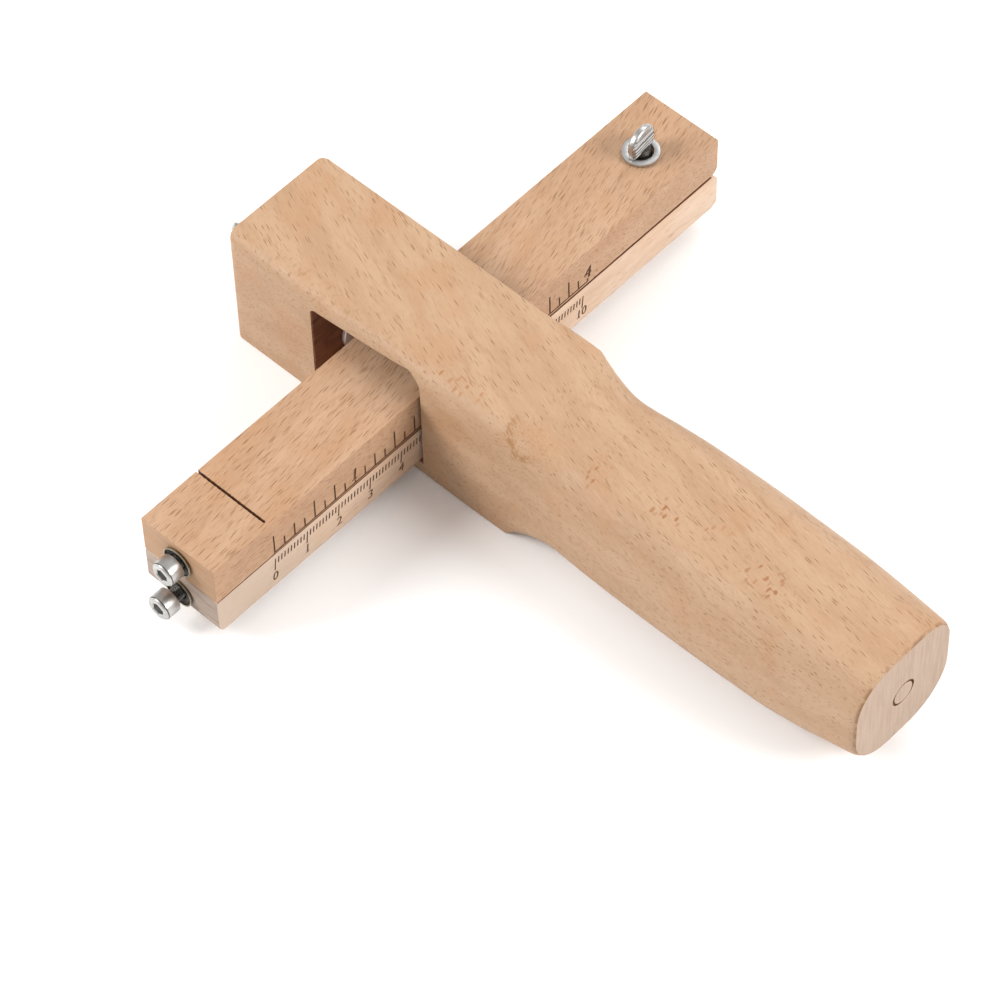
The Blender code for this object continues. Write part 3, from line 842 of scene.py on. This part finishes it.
def make_lock_thumbscrew(zinc, dark, groove):
    place = Matrix.Translation(scaled(LOCK_PLACE))
    tip_over = Matrix.Rotation(math.radians(-90.0), 4, "X")
    turn = tip_over @ Matrix.Rotation(math.radians(LOCK_TURN), 4, "Z")
    length = LOCK_PLACE[1] - LOCK_TIP_Y
    return make_thumbscrew("lock_thumbscrew_body", length, place @ turn, zinc, dark, groove)


def make_washer(zinc):
    profile = [
        (WASHER_BOTTOM_Z, WASHER_BORE_RADIUS),
        (WASHER_BOTTOM_Z, WASHER_RADIUS),
        (WASHER_TOP_Z, WASHER_RADIUS),
        (WASHER_TOP_Z, WASHER_BORE_RADIUS),
    ]
    return sleeve("thickness_washer_body", profile, (0, 0, 1), (*THICKNESS_PLACE, 0), [zinc])


def make_tee_nut(zinc):
    face = -(TEE_FLANGE_HEIGHT + INSERT_CLEARANCE)
    profile = [
        (face, THUMB_BORE_RADIUS),
        (face, TEE_FLANGE_RADIUS),
        (-INSERT_CLEARANCE, TEE_FLANGE_RADIUS),
        (-INSERT_CLEARANCE, TEE_BARREL_RADIUS),
        (TEE_BARREL_LENGTH, TEE_BARREL_RADIUS),
        (TEE_BARREL_LENGTH, THUMB_BORE_RADIUS),
    ]
    origin = (LOCK_PLACE[0], SLOT_FAR_Y, LOCK_PLACE[2])
    return sleeve("lock_tee_nut_body", profile, (0, 1, 0), origin, [zinc])


def make_thickness_insert(zinc):
    low, high = THICKNESS_INSERT_Z
    radius = THICKNESS_INSERT_RADIUS
    profile = [(low, THUMB_BORE_RADIUS), (low, radius - 0.4)]
    profile += ridges(low + 0.6, 4, radius, 0.3)
    profile += [(high, radius - 0.2), (high, THUMB_BORE_RADIUS)]
    return sleeve("thickness_insert_body", profile, (0, 0, 1), (*THICKNESS_PLACE, 0), [zinc])


# ================================================================ materials
# Noise scales are per millimetre: one for all axes, or one for each.
SHADOW_TINT = (0.86, 0.79, 0.72)    # of the deep tone, in rings, fibres and worn edges
LIGHT_TINT = (1.06, 1.08, 1.1)      # of the pale tone, between the fibres
WARM_TINT = (1.04, 0.94, 0.84)      # of the deep tone, in broad clouds
SCORCH = (0.215, 0.105, 0.045)
# Slot wall colours: the cutter's burn, darkened further with painted shade for the slot's hollow
SLOT_WOOD_PALE = (0.235, 0.095, 0.042)
SLOT_WOOD_DEEP = (0.150, 0.052, 0.022)
SLOT_WOOD_STREAK = (0.070, 0.024, 0.010)
BLADE_PALE = (0.50, 0.50, 0.51)
BLADE_DEEP = (0.36, 0.36, 0.37)
BLADE_SPOT = (0.20, 0.17, 0.15)
FLOOR_PALE = (0.965, 0.965, 0.965)
FLOOR_DEEP = (0.945, 0.945, 0.947)

WOOD_EDGE = 0.55                    # reach of the worn edges, in millimetres
# reach of the painted highlight along metal edges
METAL_EDGE = 0.14
WOOD_RELIEF = 0.05                  # depth of the grain, in millimetres
BURNT_RELIEF = 0.06
BLADE_RELIEF = 0.008
PLATE_RELIEF = 0.001
FLOOR_RELIEF = 0.02
WOOD_SPECULAR = 0.3


def tinted(colour, tint):
    return tuple(c * k for c, k in zip(colour, tint))


class Graph:
    """A new material and short ways to add nodes to it; values are numbers or node outputs."""

    def __init__(self, name):
        self.material = bpy.data.materials.new(name)
        self.material.use_nodes = True
        self.tree = self.material.node_tree
        self.shader = self.tree.nodes["Principled BSDF"]
        self.coordinates = self.tree.nodes.new("ShaderNodeTexCoord")
        self.millimetres = self.grown(self.coordinates.outputs["Object"], 1 / MM)
        self.place = self.millimetres

    def add(self, kind, inputs=None, **settings):
        node = self.tree.nodes.new("ShaderNode" + kind)
        for key, value in settings.items():
            setattr(node, key, value)
        for key, value in (inputs or {}).items():
            self.put(value, node.inputs[key])
        return node

    def put(self, value, socket):
        if isinstance(value, bpy.types.NodeSocket):
            self.tree.links.new(value, socket)
        else:
            socket.default_value = value

    def math(self, operation, first, second=0.0):
        return self.add("Math", {0: first, 1: second}, operation=operation).outputs[0]

    def multiply(self, first, second):
        return self.math("MULTIPLY", first, second)

    def vector(self, operation, first, second):
        return self.add("VectorMath", {0: first, 1: second}, operation=operation).outputs[0]

    def grown(self, vector, factor):
        return self.add("VectorMath", {0: vector, 3: factor}, operation="SCALE").outputs[0]

    def length(self, vector):
        return self.add("VectorMath", {0: vector}, operation="LENGTH").outputs["Value"]

    def parts(self, vector):
        return self.add("SeparateXYZ", {0: vector}).outputs

    def stretched(self, scale, shift=0.0, warp=None):
        """The object's coordinates in millimetres, times a scale, and bent by a warp."""
        if isinstance(scale, float):
            scale = (scale, scale, scale)
        inputs = {"Vector": self.place, "Scale": scale,
                  "Location": (shift, shift * 1.7, shift * 0.6)}
        vector = self.add("Mapping", inputs).outputs[0]
        return vector if warp is None else self.vector("ADD", vector, warp)

    def lean_grain(self, grain, slope, curve):
        """Let the grain run off its axis at a slope that changes by `curve` for each millimetre."""
        parts = self.parts(self.place)
        along = parts[0 if grain == "X" else 1]
        across = parts[1 if grain == "X" else 0]
        rate = self.math("ADD", self.multiply(along, curve / 2), slope)
        moved = self.math("SUBTRACT", across, self.multiply(along, rate))
        order = (along, moved) if grain == "X" else (moved, along)
        self.place = self.add("CombineXYZ", {0: order[0], 1: order[1], 2: parts[2]}).outputs[0]

    def noise(self, scale, shift, detail=2.0, roughness=0.5, warp=None):
        inputs = {"Vector": self.stretched(scale, shift, warp), "Scale": 1.0,
                  "Detail": detail, "Roughness": roughness}
        return self.add("TexNoise", inputs).outputs["Fac"]

    def drift(self, scale, shift, reach):
        """Vector that wanders over the piece, to bend another pattern with."""
        noise = self.add("TexNoise", {"Vector": self.stretched(scale, shift), "Scale": 1.0})
        return self.grown(noise.outputs["Color"], reach)

    def cells(self, vector):
        """Distance from the nearest of many scattered points, and that point's random numbers."""
        node = self.add("TexVoronoi", {"Vector": vector, "Scale": 1.0, "Randomness": 1.0})
        randoms = self.add("SeparateColor", {0: node.outputs["Color"]}).outputs
        return node.outputs["Distance"], randoms

    def between(self, value, low, high, out_low=0.0, out_high=1.0):
        """Smoothly maps low..high to out_low..out_high, and stays there outside them."""
        inputs = {"Value": value, "From Min": low, "From Max": high,
                  "To Min": out_low, "To Max": out_high}
        return self.add("MapRange", inputs, interpolation_type="SMOOTHSTEP").outputs[0]

    def mix(self, amount, first, second):
        node = self.add("Mix", data_type="RGBA")
        for value, index in ((amount, 0), (first, 6), (second, 7)):
            if isinstance(value, tuple):
                value = (*value, 1.0)
            self.put(value, node.inputs[index])
        return node.outputs[2]

    def stain(self, colour, mask, amount, stain):
        return self.mix(self.multiply(mask, amount), colour, stain)

    def edges(self, radius):
        """1 along the piece's convex and concave edges, 0 on its faces."""
        rounded = self.add("Bevel", {"Radius": radius * MM}, samples=4).outputs[0]
        plain = self.add("NewGeometry").outputs["Normal"]
        facing = self.add("VectorMath", {0: rounded, 1: plain}, operation="DOT_PRODUCT")
        return self.between(facing.outputs["Value"], 0.995, 0.88)

    def finish(self, colour, roughness, height, relief):
        self.put(colour, self.shader.inputs["Base Color"])
        self.put(roughness, self.shader.inputs["Roughness"])
        bump = self.add("Bump", {"Height": height, "Distance": relief * MM, "Strength": 0.7})
        self.put(bump.outputs[0], self.shader.inputs["Normal"])
        return self.material


def along_grain(grain, across, along):
    """Scale for each axis, with the wood's grain along 'X' or 'Y'."""
    return (along, across, across) if grain == "X" else (across, along, across)


def dashes(graph, grain, width, length, every, shift, warp=None):
    """Mask of short dark dashes along the grain, one on average in each `every` square millimetres."""
    size = (width * length / (2 * every)) ** (1 / 3) * 0.5
    cell_across = width / 2 / size
    cell_along = length / 2 / size
    scale = along_grain(grain, 1 / cell_across, 1 / cell_along)
    distance, randoms = graph.cells(graph.stretched(scale, shift, warp))
    mark = graph.between(distance, size * 1.25, size * 0.55)
    strength = graph.between(randoms[0], 0.0, 1.0, 0.4, 1.0)
    return graph.multiply(mark, strength)


def beech(name, grain, lean, tones, fleck, fleck_size, fleck_every, shift,
          knots=(), blotches=(), grey_end=None, scorched=None):
    """Planed beech: growth rings, fibres, pores, dark ray flecks and slightly worn edges.

    lean is the grain's slope off its axis and how it changes; tones are the pale, deep, end-grain
    and end-streak colours; fleck is the dark flecks' colour.  grey_end greys the wood between two
    places along X, and scorched browns its edge between two places along Y.
    """
    pale, deep, end, end_streak = tones
    shadow = tinted(deep, SHADOW_TINT)
    width, length = fleck_size
    graph = Graph(name)
    graph.lean_grain(grain, *lean)
    drift = graph.drift(0.05, shift, 0.9)
    band = graph.noise(along_grain(grain, 0.16, 0.014), shift, 3.0, warp=drift)
    ring = growth_rings(graph, grain, shift)
    fibre = graph.noise(along_grain(grain, 2.8, 0.2), shift + 3.0, 3.0, 0.65)
    grit = graph.noise(along_grain(grain, 4.5, 1.6), shift + 31.0, 2.0, 0.6)
    cloud = graph.noise(0.09, shift + 7.0)
    marks = dashes(graph, grain, width, length, fleck_every, shift + 11.0, drift)
    small = dashes(graph, grain, width * 0.6, length * 0.5, fleck_every * 0.4, shift + 19.0)

    colour = graph.mix(graph.between(band, 0.35, 0.66), pale, deep)
    colour = graph.mix(graph.between(cloud, 0.45, 0.75, 0.0, 0.6), colour, tinted(deep, WARM_TINT))
    colour = graph.stain(colour, ring, 0.4, shadow)
    colour = graph.mix(graph.between(fibre, 0.5, 0.78, 0.0, 0.6), colour, shadow)
    colour = graph.mix(graph.between(fibre, 0.46, 0.24, 0.0, 0.8), colour, tinted(pale, LIGHT_TINT))
    colour = graph.mix(graph.between(grit, 0.55, 0.8, 0.0, 0.5), colour, shadow)
    colour = graph.stain(colour, small, 0.42, fleck)
    colour = graph.stain(colour, marks, 0.85, fleck)
    for knot in knots:
        colour = add_knot(graph, colour, *knot)
    for blotch in blotches:
        colour = add_blotches(graph, colour, *blotch)
    if grey_end:
        start, stop, grey = grey_end
        along = graph.parts(graph.millimetres)[0]
        colour = graph.mix(graph.between(along, start, stop, 0.0, 0.75), colour, grey)
    if scorched:
        along = graph.parts(graph.millimetres)[1]
        rubbed = graph.between(graph.noise(0.35, shift + 61.0, 3.0), 0.38, 0.6)
        browned = graph.multiply(graph.between(along, *scorched), rubbed)
        colour = graph.stain(colour, browned, 0.85, SCORCH)
    colour = add_end_grain(graph, colour, grain, end, end_streak, shift)
    colour = graph.stain(colour, graph.edges(WOOD_EDGE), 0.3, shadow)

    height = graph.math("SUBTRACT", fibre, marks)
    rough = graph.between(graph.math("ADD", fibre, marks), 0.3, 1.2, 0.5, 0.72)
    graph.shader.inputs["Specular IOR Level"].default_value = WOOD_SPECULAR
    return graph.finish(colour, rough, height, WOOD_RELIEF)


def growth_rings(graph, grain, shift):
    """Thin wavering lines along the grain, stronger in some places than in others."""
    wander = graph.noise(along_grain(grain, 0.07, 0.022), shift + 41.0, 3.0, 0.55)
    parts = graph.parts(graph.place)
    across = graph.math("ADD", parts[1 if grain == "X" else 0], graph.multiply(parts[2], 1.3))
    phase = graph.math("ADD", graph.multiply(across, 1.1), graph.multiply(wander, 34.0))
    line = graph.between(graph.math("SINE", phase), 0.72, 1.0)
    patch = graph.between(graph.noise(0.06, shift + 47.0), 0.42, 0.68)
    return graph.multiply(line, patch)


def local_place(graph, centre, reach, turn):
    """Coordinates round a point, turned about Z and divided by a reach for each axis."""
    centred = graph.vector("SUBTRACT", graph.millimetres, centre)
    inputs = {"Vector": centred, "Rotation": (0.0, 0.0, math.radians(turn)),
              "Scale": [1 / r for r in reach]}
    return graph.add("Mapping", inputs).outputs[0]


def add_knot(graph, colour, centre, reach, turn, stain, amount):
    """Curly figure: a ragged stained arc on one side of a point, and hairs that fan out of it."""
    local = local_place(graph, centre, reach, turn)
    distance = graph.length(local)
    wobble = graph.noise(0.7, 5.0, 4.0, 0.65)
    reached = graph.math("ADD", distance, graph.multiply(wobble, 0.8))
    band = graph.multiply(graph.between(reached, 1.04, 1.24), graph.between(reached, 1.5, 1.26))
    side = graph.between(graph.parts(local)[0], 0.1, -0.5)
    hairs = graph.noise((2.4, 0.7, 1.0), 23.0, 3.0, 0.65)
    curl = graph.multiply(graph.multiply(band, side), graph.between(hairs, 0.32, 0.56))
    ripple = graph.math("SINE", graph.multiply(reached, 21.0))
    inner = graph.multiply(graph.between(ripple, 0.4, 1.0), graph.between(distance, 1.5, 0.6))
    inner = graph.multiply(inner, graph.between(hairs, 0.45, 0.62, 0.0, 0.5))
    return graph.stain(colour, graph.math("MAXIMUM", curl, inner), amount, stain)


def add_blotches(graph, colour, centre, reach, stain, amount):
    """Cluster of small warm blotches that lie across the grain, fading out at its reach."""
    distance = graph.length(local_place(graph, centre, reach, 0.0))
    inputs = {"Vector": graph.millimetres, "Scale": (0.42, 0.78, 0.3),
              "Rotation": (0.0, 0.0, math.radians(-43.0))}
    turned_place = graph.add("Mapping", inputs).outputs[0]
    moved = graph.vector("ADD", turned_place, graph.drift(0.5, 51.0, 0.8))
    from_centre, randoms = graph.cells(moved)
    blob = graph.between(from_centre, 0.42, 0.2)
    strength = graph.between(randoms[1], 0.0, 1.0, 0.45, 1.0)
    mask = graph.multiply(graph.multiply(blob, strength), graph.between(distance, 1.0, 0.6))
    return graph.stain(colour, mask, amount, stain)


def add_end_grain(graph, colour, grain, end, end_streak, shift):
    """Faces across the grain show fine streaks on a greyer ground."""
    parts = graph.parts(graph.coordinates.outputs["Normal"])
    along = graph.math("ABSOLUTE", parts[0 if grain == "X" else 1])
    mask = graph.between(along, 0.8, 0.97)
    streak_scale = (0.2, 0.16, 1.9) if grain == "X" else (1.5, 0.2, 0.12)
    streak = graph.noise(streak_scale, shift + 29.0, 3.0, 0.6)
    ends = graph.mix(graph.between(streak, 0.36, 0.7), end, end_streak)
    return graph.mix(mask, colour, ends)


def burnt_wood(name, dark, light):
    """Scorched wood in the kerf, the bores and the engraved lines; in the kerf and the bores its dark
    colour is partly painted shade.
    """
    graph = Graph(name)
    cloud = graph.noise(0.35, 2.0, 3.0)
    grit = graph.noise(3.0, 5.0, 2.0, 0.6)
    colour = graph.mix(graph.between(cloud, 0.3, 0.7), dark, light)
    soot = tuple(c * 0.5 for c in dark)
    colour = graph.mix(graph.between(grit, 0.45, 0.7, 0.0, 0.5), colour, soot)
    return graph.finish(colour, graph.between(grit, 0.2, 0.8, 0.65, 0.9), grit, BURNT_RELIEF)


def slot_wood(name):
    """Milled wall of the slot: beech darkened partly by the cutter's burn and partly by painted shade
    for the hollow, with streaks along the cut.
    """
    graph = Graph(name)
    cloud = graph.noise(0.12, 2.0, 3.0)
    streak = graph.noise((0.15, 1.6, 1.6), 5.0, 3.0, 0.6)
    colour = graph.mix(graph.between(cloud, 0.3, 0.7), SLOT_WOOD_DEEP, SLOT_WOOD_PALE)
    colour = graph.mix(graph.between(streak, 0.45, 0.75, 0.0, 0.6), colour, SLOT_WOOD_STREAK)
    return graph.finish(colour, graph.between(streak, 0.2, 0.8, 0.6, 0.85), streak, BURNT_RELIEF)


def plated_steel(name, pale, deep, shift, smooth, rough):
    """Zinc plating: soft clouding, fine scratches and a painted highlight along the edges."""
    graph = Graph(name)
    cloud = graph.noise(0.35, shift, 3.0)
    grain = graph.noise(5.0, shift + 3.0, 2.0, 0.6)
    scratch = graph.noise((9.0, 0.8, 1.4), shift + 5.0, 2.0, 0.7)
    dull = tuple(c * 0.6 for c in deep)
    bright = tuple(min(1.0, c * 1.3) for c in pale)
    colour = graph.mix(graph.between(cloud, 0.35, 0.68), pale, deep)
    colour = graph.mix(graph.between(grain, 0.55, 0.8, 0.0, 0.15), colour, dull)
    # Painted highlight: edges brightened towards the pale colour.
    colour = graph.stain(colour, graph.edges(METAL_EDGE), 0.5, bright)
    roughness = graph.between(graph.math("ADD", scratch, cloud), 0.7, 1.3, smooth, rough)
    graph.shader.inputs["Metallic"].default_value = 1.0
    return graph.finish(colour, roughness, graph.math("ADD", grain, scratch), PLATE_RELIEF)


def ground_steel(name):
    """Blade steel, ground along its length, with a few darker spots."""
    graph = Graph(name)
    lines = graph.noise((1.0, 14.0, 0.25), 3.0, 3.0, 0.6)
    spots = graph.noise(0.8, 9.0, 3.0)
    colour = graph.mix(graph.between(lines, 0.3, 0.7), BLADE_PALE, BLADE_DEEP)
    colour = graph.mix(graph.between(spots, 0.6, 0.78, 0.0, 0.5), colour, BLADE_SPOT)
    graph.shader.inputs["Metallic"].default_value = 1.0
    return graph.finish(colour, graph.between(lines, 0.2, 0.8, 0.2, 0.42), lines, BLADE_RELIEF)


def floor_paint(name):
    graph = Graph(name)
    cloud = graph.noise(0.004, 0.0)
    grain = graph.noise(0.5, 0.0)
    colour = graph.mix(graph.between(cloud, 0.3, 0.7), FLOOR_PALE, FLOOR_DEEP)
    return graph.finish(colour, graph.between(grain, 0.2, 0.8, 0.7, 0.8), grain, FLOOR_RELIEF)


# ================================================================ room
CAMERA_PLACE = (-0.45116, -0.46076, 0.84409)
CAMERA_RIGHT = (0.6803, -0.73271, -0.01805)
CAMERA_UP = (0.59898, 0.5416, 0.58982)
CAMERA_BACK = (-0.42239, -0.41206, 0.80734)
CAMERA_LENS = 167.78
SENSOR_WIDTH = 36.0
CLIP_START = 0.05

LIGHT_TARGET = (0.0, -0.03, 0.0)
LIGHTS = {
    # place and diameter in metres, power in watts
    "key_light": ((-0.75, 0.75, 0.8), 0.7, 16.0),
    "fill_light": ((0.45, -1.15, 0.85), 0.7, 17.0),
    "back_light": ((1.1, 0.25, 0.9), 0.8, 7.0),
}
DOME = {"From Min": -0.1, "From Max": 0.9, "To Min": 0.5, "To Max": 0.6}

FLOOR_HALF = 4000.0
FLOOR_Z = -0.05


def make_camera():
    camera = bpy.data.objects.new("camera", bpy.data.cameras.new("camera"))
    bpy.context.scene.collection.objects.link(camera)
    camera.data.lens = CAMERA_LENS
    camera.data.sensor_width = SENSOR_WIDTH
    camera.data.clip_start = CLIP_START
    turn = Matrix((CAMERA_RIGHT, CAMERA_UP, CAMERA_BACK)).transposed()
    camera.matrix_world = Matrix.Translation(CAMERA_PLACE) @ turn.to_4x4()
    bpy.context.scene.camera = camera


def make_light(name, place, size, power):
    light = bpy.data.lights.new(name, "AREA")
    light.shape = "DISK"
    light.size = size
    light.energy = power
    lamp = bpy.data.objects.new(name, light)
    bpy.context.scene.collection.objects.link(lamp)
    aim = (Vector(LIGHT_TARGET) - Vector(place)).to_track_quat("-Z", "Y")
    lamp.matrix_world = Matrix.Translation(place) @ aim.to_matrix().to_4x4()


def make_world():
    """Even studio dome, a little darker towards the horizon so that metal has something to show."""
    world = bpy.data.worlds.new("studio")
    world.use_nodes = True
    bpy.context.scene.world = world
    tree = world.node_tree
    background = tree.nodes["Background"]
    background.inputs["Strength"].default_value = 1.0
    place = tree.nodes.new("ShaderNodeTexCoord")
    parts = tree.nodes.new("ShaderNodeSeparateXYZ")
    blend = tree.nodes.new("ShaderNodeMapRange")
    for key, value in DOME.items():
        blend.inputs[key].default_value = value
    tree.links.new(place.outputs["Generated"], parts.inputs[0])
    tree.links.new(parts.outputs[2], blend.inputs["Value"])
    tree.links.new(blend.outputs[0], background.inputs["Color"])


def make_floor():
    mesh_data = bmesh.new()
    sides = ((-1, -1), (1, -1), (1, 1), (-1, 1))
    corners = [(x * FLOOR_HALF, y * FLOOR_HALF, FLOOR_Z) for x, y in sides]
    mesh_data.faces.new([mesh_data.verts.new(scaled(corner)) for corner in corners])
    floor = object_from("floor", mesh_data, [floor_paint("floor_paint")])


def make_room():
    make_world()
    for name, light in LIGHTS.items():
        make_light(name, *light)
    make_floor()
    make_camera()
    bpy.context.scene.view_settings.view_transform = "Standard"


# ================================================================ whole object
HANDLE_WOOD = {
    "grain": "Y",
    "lean": (0.325, 0.00134),
    "tones": ((0.444, 0.286, 0.176), (0.396, 0.243, 0.142),
              (0.397, 0.288, 0.213), (0.345, 0.243, 0.175)),
    "fleck": (0.200, 0.094, 0.040),
    "fleck_size": (0.23, 2.3),
    "fleck_every": 2.9,
    "shift": 0.0,
    "knots": [
        # centre, reach along x, y and z, turn in degrees, stain, amount
        ((-11.3, -41.2, 36.0), (5.0, 5.8, 9.0), 30.0, (0.31, 0.158, 0.064), 0.95),
    ],
    "blotches": [
        # centre, reach along x, y and z, stain, amount
        ((-12.8, 20.0, 35.8), (3.4, 30.0, 6.0), (0.29, 0.165, 0.078), 0.5),
        ((-11.0, -20.0, 36.0), (3.6, 9.0, 5.0), (0.34, 0.155, 0.058), 0.95),
        ((-9.0, -59.5, 34.5), (4.5, 4.0, 6.0), (0.32, 0.140, 0.052), 1.0),
        ((-6.8, -75.5, 35.5), (4.2, 7.5, 5.0), (0.31, 0.130, 0.052), 1.0),
        ((-4.0, -88.0, 36.0), (3.8, 7.0, 5.0), (0.34, 0.150, 0.065), 0.8),
        ((-6.0, -104.5, 35.5), (4.8, 10.0, 5.0), (0.30, 0.130, 0.052), 1.0),
    ],
    "scorched": (-137.0, -137.9),
}
UPPER_BAR_WOOD = {
    "grain": "X",
    "lean": (0.167, 0.00138),
    "tones": ((0.455, 0.287, 0.180), (0.400, 0.240, 0.140),
              (0.385, 0.228, 0.128), (0.335, 0.190, 0.100)),
    "fleck": (0.185, 0.082, 0.034),
    "fleck_size": (0.21, 2.8),
    "fleck_every": 1.35,
    "shift": 40.0,
}
LOWER_BAR_WOOD = {
    "grain": "X",
    "lean": (0.05, 0.0),
    "tones": ((0.610, 0.453, 0.338), (0.530, 0.372, 0.260),
              (0.370, 0.280, 0.225), (0.235, 0.170, 0.133)),
    "fleck": (0.30, 0.17, 0.10),
    "fleck_size": (0.20, 2.4),
    "fleck_every": 9.0,
    "shift": 80.0,
    "grey_end": (-25.0, -78.0, (0.425, 0.335, 0.265)),
}
BURNT = {
    # darkest and lightest colour
    # in the kerf and bores: burn plus painted shade inside the cuts
    "burnt_and_shaded_beech": ((0.115, 0.036, 0.013), (0.180, 0.066, 0.026)),
    "burnt_lines": ((0.085, 0.034, 0.016), (0.145, 0.062, 0.030)),
    "faded_lines": ((0.150, 0.080, 0.046), (0.220, 0.125, 0.075)),
}
PLATING = {
    # pale and deep colour, place in the noise, least and greatest roughness
    "zinc_plate": ((0.52, 0.51, 0.495), (0.43, 0.42, 0.405), 1.0, 0.3, 0.42),
    # painted shade in the grooves between a spade head's ribs
    "groove_shade_zinc": ((0.21, 0.20, 0.185), (0.14, 0.132, 0.12), 5.0, 0.4, 0.55),
    "warm_zinc": ((0.37, 0.33, 0.25), (0.27, 0.235, 0.17), 2.0, 0.25, 0.4),
    # painted light: near white, so the tee nut deep in the slot looks lit
    "painted_light_zinc": ((0.95, 0.94, 0.95), (0.88, 0.87, 0.89), 4.0, 0.4, 0.6),
    "matte_zinc": ((0.50, 0.50, 0.495), (0.43, 0.43, 0.425), 3.0, 0.42, 0.58),
    # painted shade inside the clamp inserts' cups
    "cup_shade_zinc": ((0.035, 0.027, 0.020), (0.022, 0.017, 0.013), 8.0, 0.4, 0.6),
    # painted shade on screw threads and along the clamp heads' chamfer
    "painted_shade_zinc": ((0.135, 0.127, 0.115), (0.08, 0.074, 0.066), 6.0, 0.3, 0.5),
}


def dress(piece, body, node):
    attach(piece, body)
    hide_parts(node)


def dress_metal(piece, body, node):
    dress(piece, body, node)


def dress_woods():
    # Slot wall: burn from the cutter plus painted shade, also put along the bars' split
    wall = slot_wood("slot_wall_burn_and_shade")
    burnt, dark_ink, pale_ink = [burnt_wood(name, *look) for name, look in BURNT.items()]
    handle = make_handle(beech("handle_beech", **HANDLE_WOOD), wall)
    lower = make_lower_bar(beech("lower_bar_beech", **LOWER_BAR_WOOD), burnt, wall, pale_ink)
    upper = make_upper_bar(beech("upper_bar_beech", **UPPER_BAR_WOOD), burnt, wall, dark_ink)
    dress(handle, "handle", "handle")
    dress(lower, "crossbar", "lower_bar")
    dress(upper, "top_bar", "upper_bar")


def dress_metals():
    metals = {name: plated_steel(name, *look) for name, look in PLATING.items()}
    zinc = metals["zinc_plate"]
    cup = (metals["warm_zinc"], metals["cup_shade_zinc"])
    screw = (zinc, metals["painted_shade_zinc"])
    spade = (*screw, metals["groove_shade_zinc"])
    upper_insert = make_clamp_insert("upper_clamp_insert_body", UPPER_CLAMP_PLACE, *cup)
    lower_insert = make_clamp_insert("lower_clamp_insert_body", LOWER_CLAMP_PLACE, *cup)
    upper_screw = make_clamp_screw("upper_clamp_screw_body", UPPER_CLAMP_PLACE,
                                   UPPER_CLAMP_STANDOFF, *screw)
    lower_screw = make_clamp_screw("lower_clamp_screw_body", LOWER_CLAMP_PLACE,
                                   LOWER_CLAMP_STANDOFF, *screw)
    dress_metal(upper_insert, "top_bar", "upper_clamp_insert")
    dress_metal(lower_insert, "crossbar", "lower_clamp_insert")
    dress_metal(upper_screw, "upper_clamp", "upper_clamp_screw")
    dress_metal(lower_screw, "lower_clamp", "lower_clamp_screw")
    dress_metal(make_thickness_thumbscrew(*spade), "thickness_screw", "thickness_thumbscrew")
    dress_metal(make_lock_thumbscrew(*spade), "lock_screw", "lock_thumbscrew")
    dress_metal(make_washer(metals["matte_zinc"]), "top_bar", "thickness_washer")
    # The tee nut's near-white plating is painted light.
    dress_metal(make_tee_nut(metals["painted_light_zinc"]), "handle", "lock_tee_nut")
    dress_metal(make_thickness_insert(zinc), "crossbar", "thickness_insert")


def main():
    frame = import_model()
    dress_woods()
    dress_metals()
    frame["nodes"]["blade"].material_slots[0].material = ground_steel("ground_steel")
    make_room()


main()
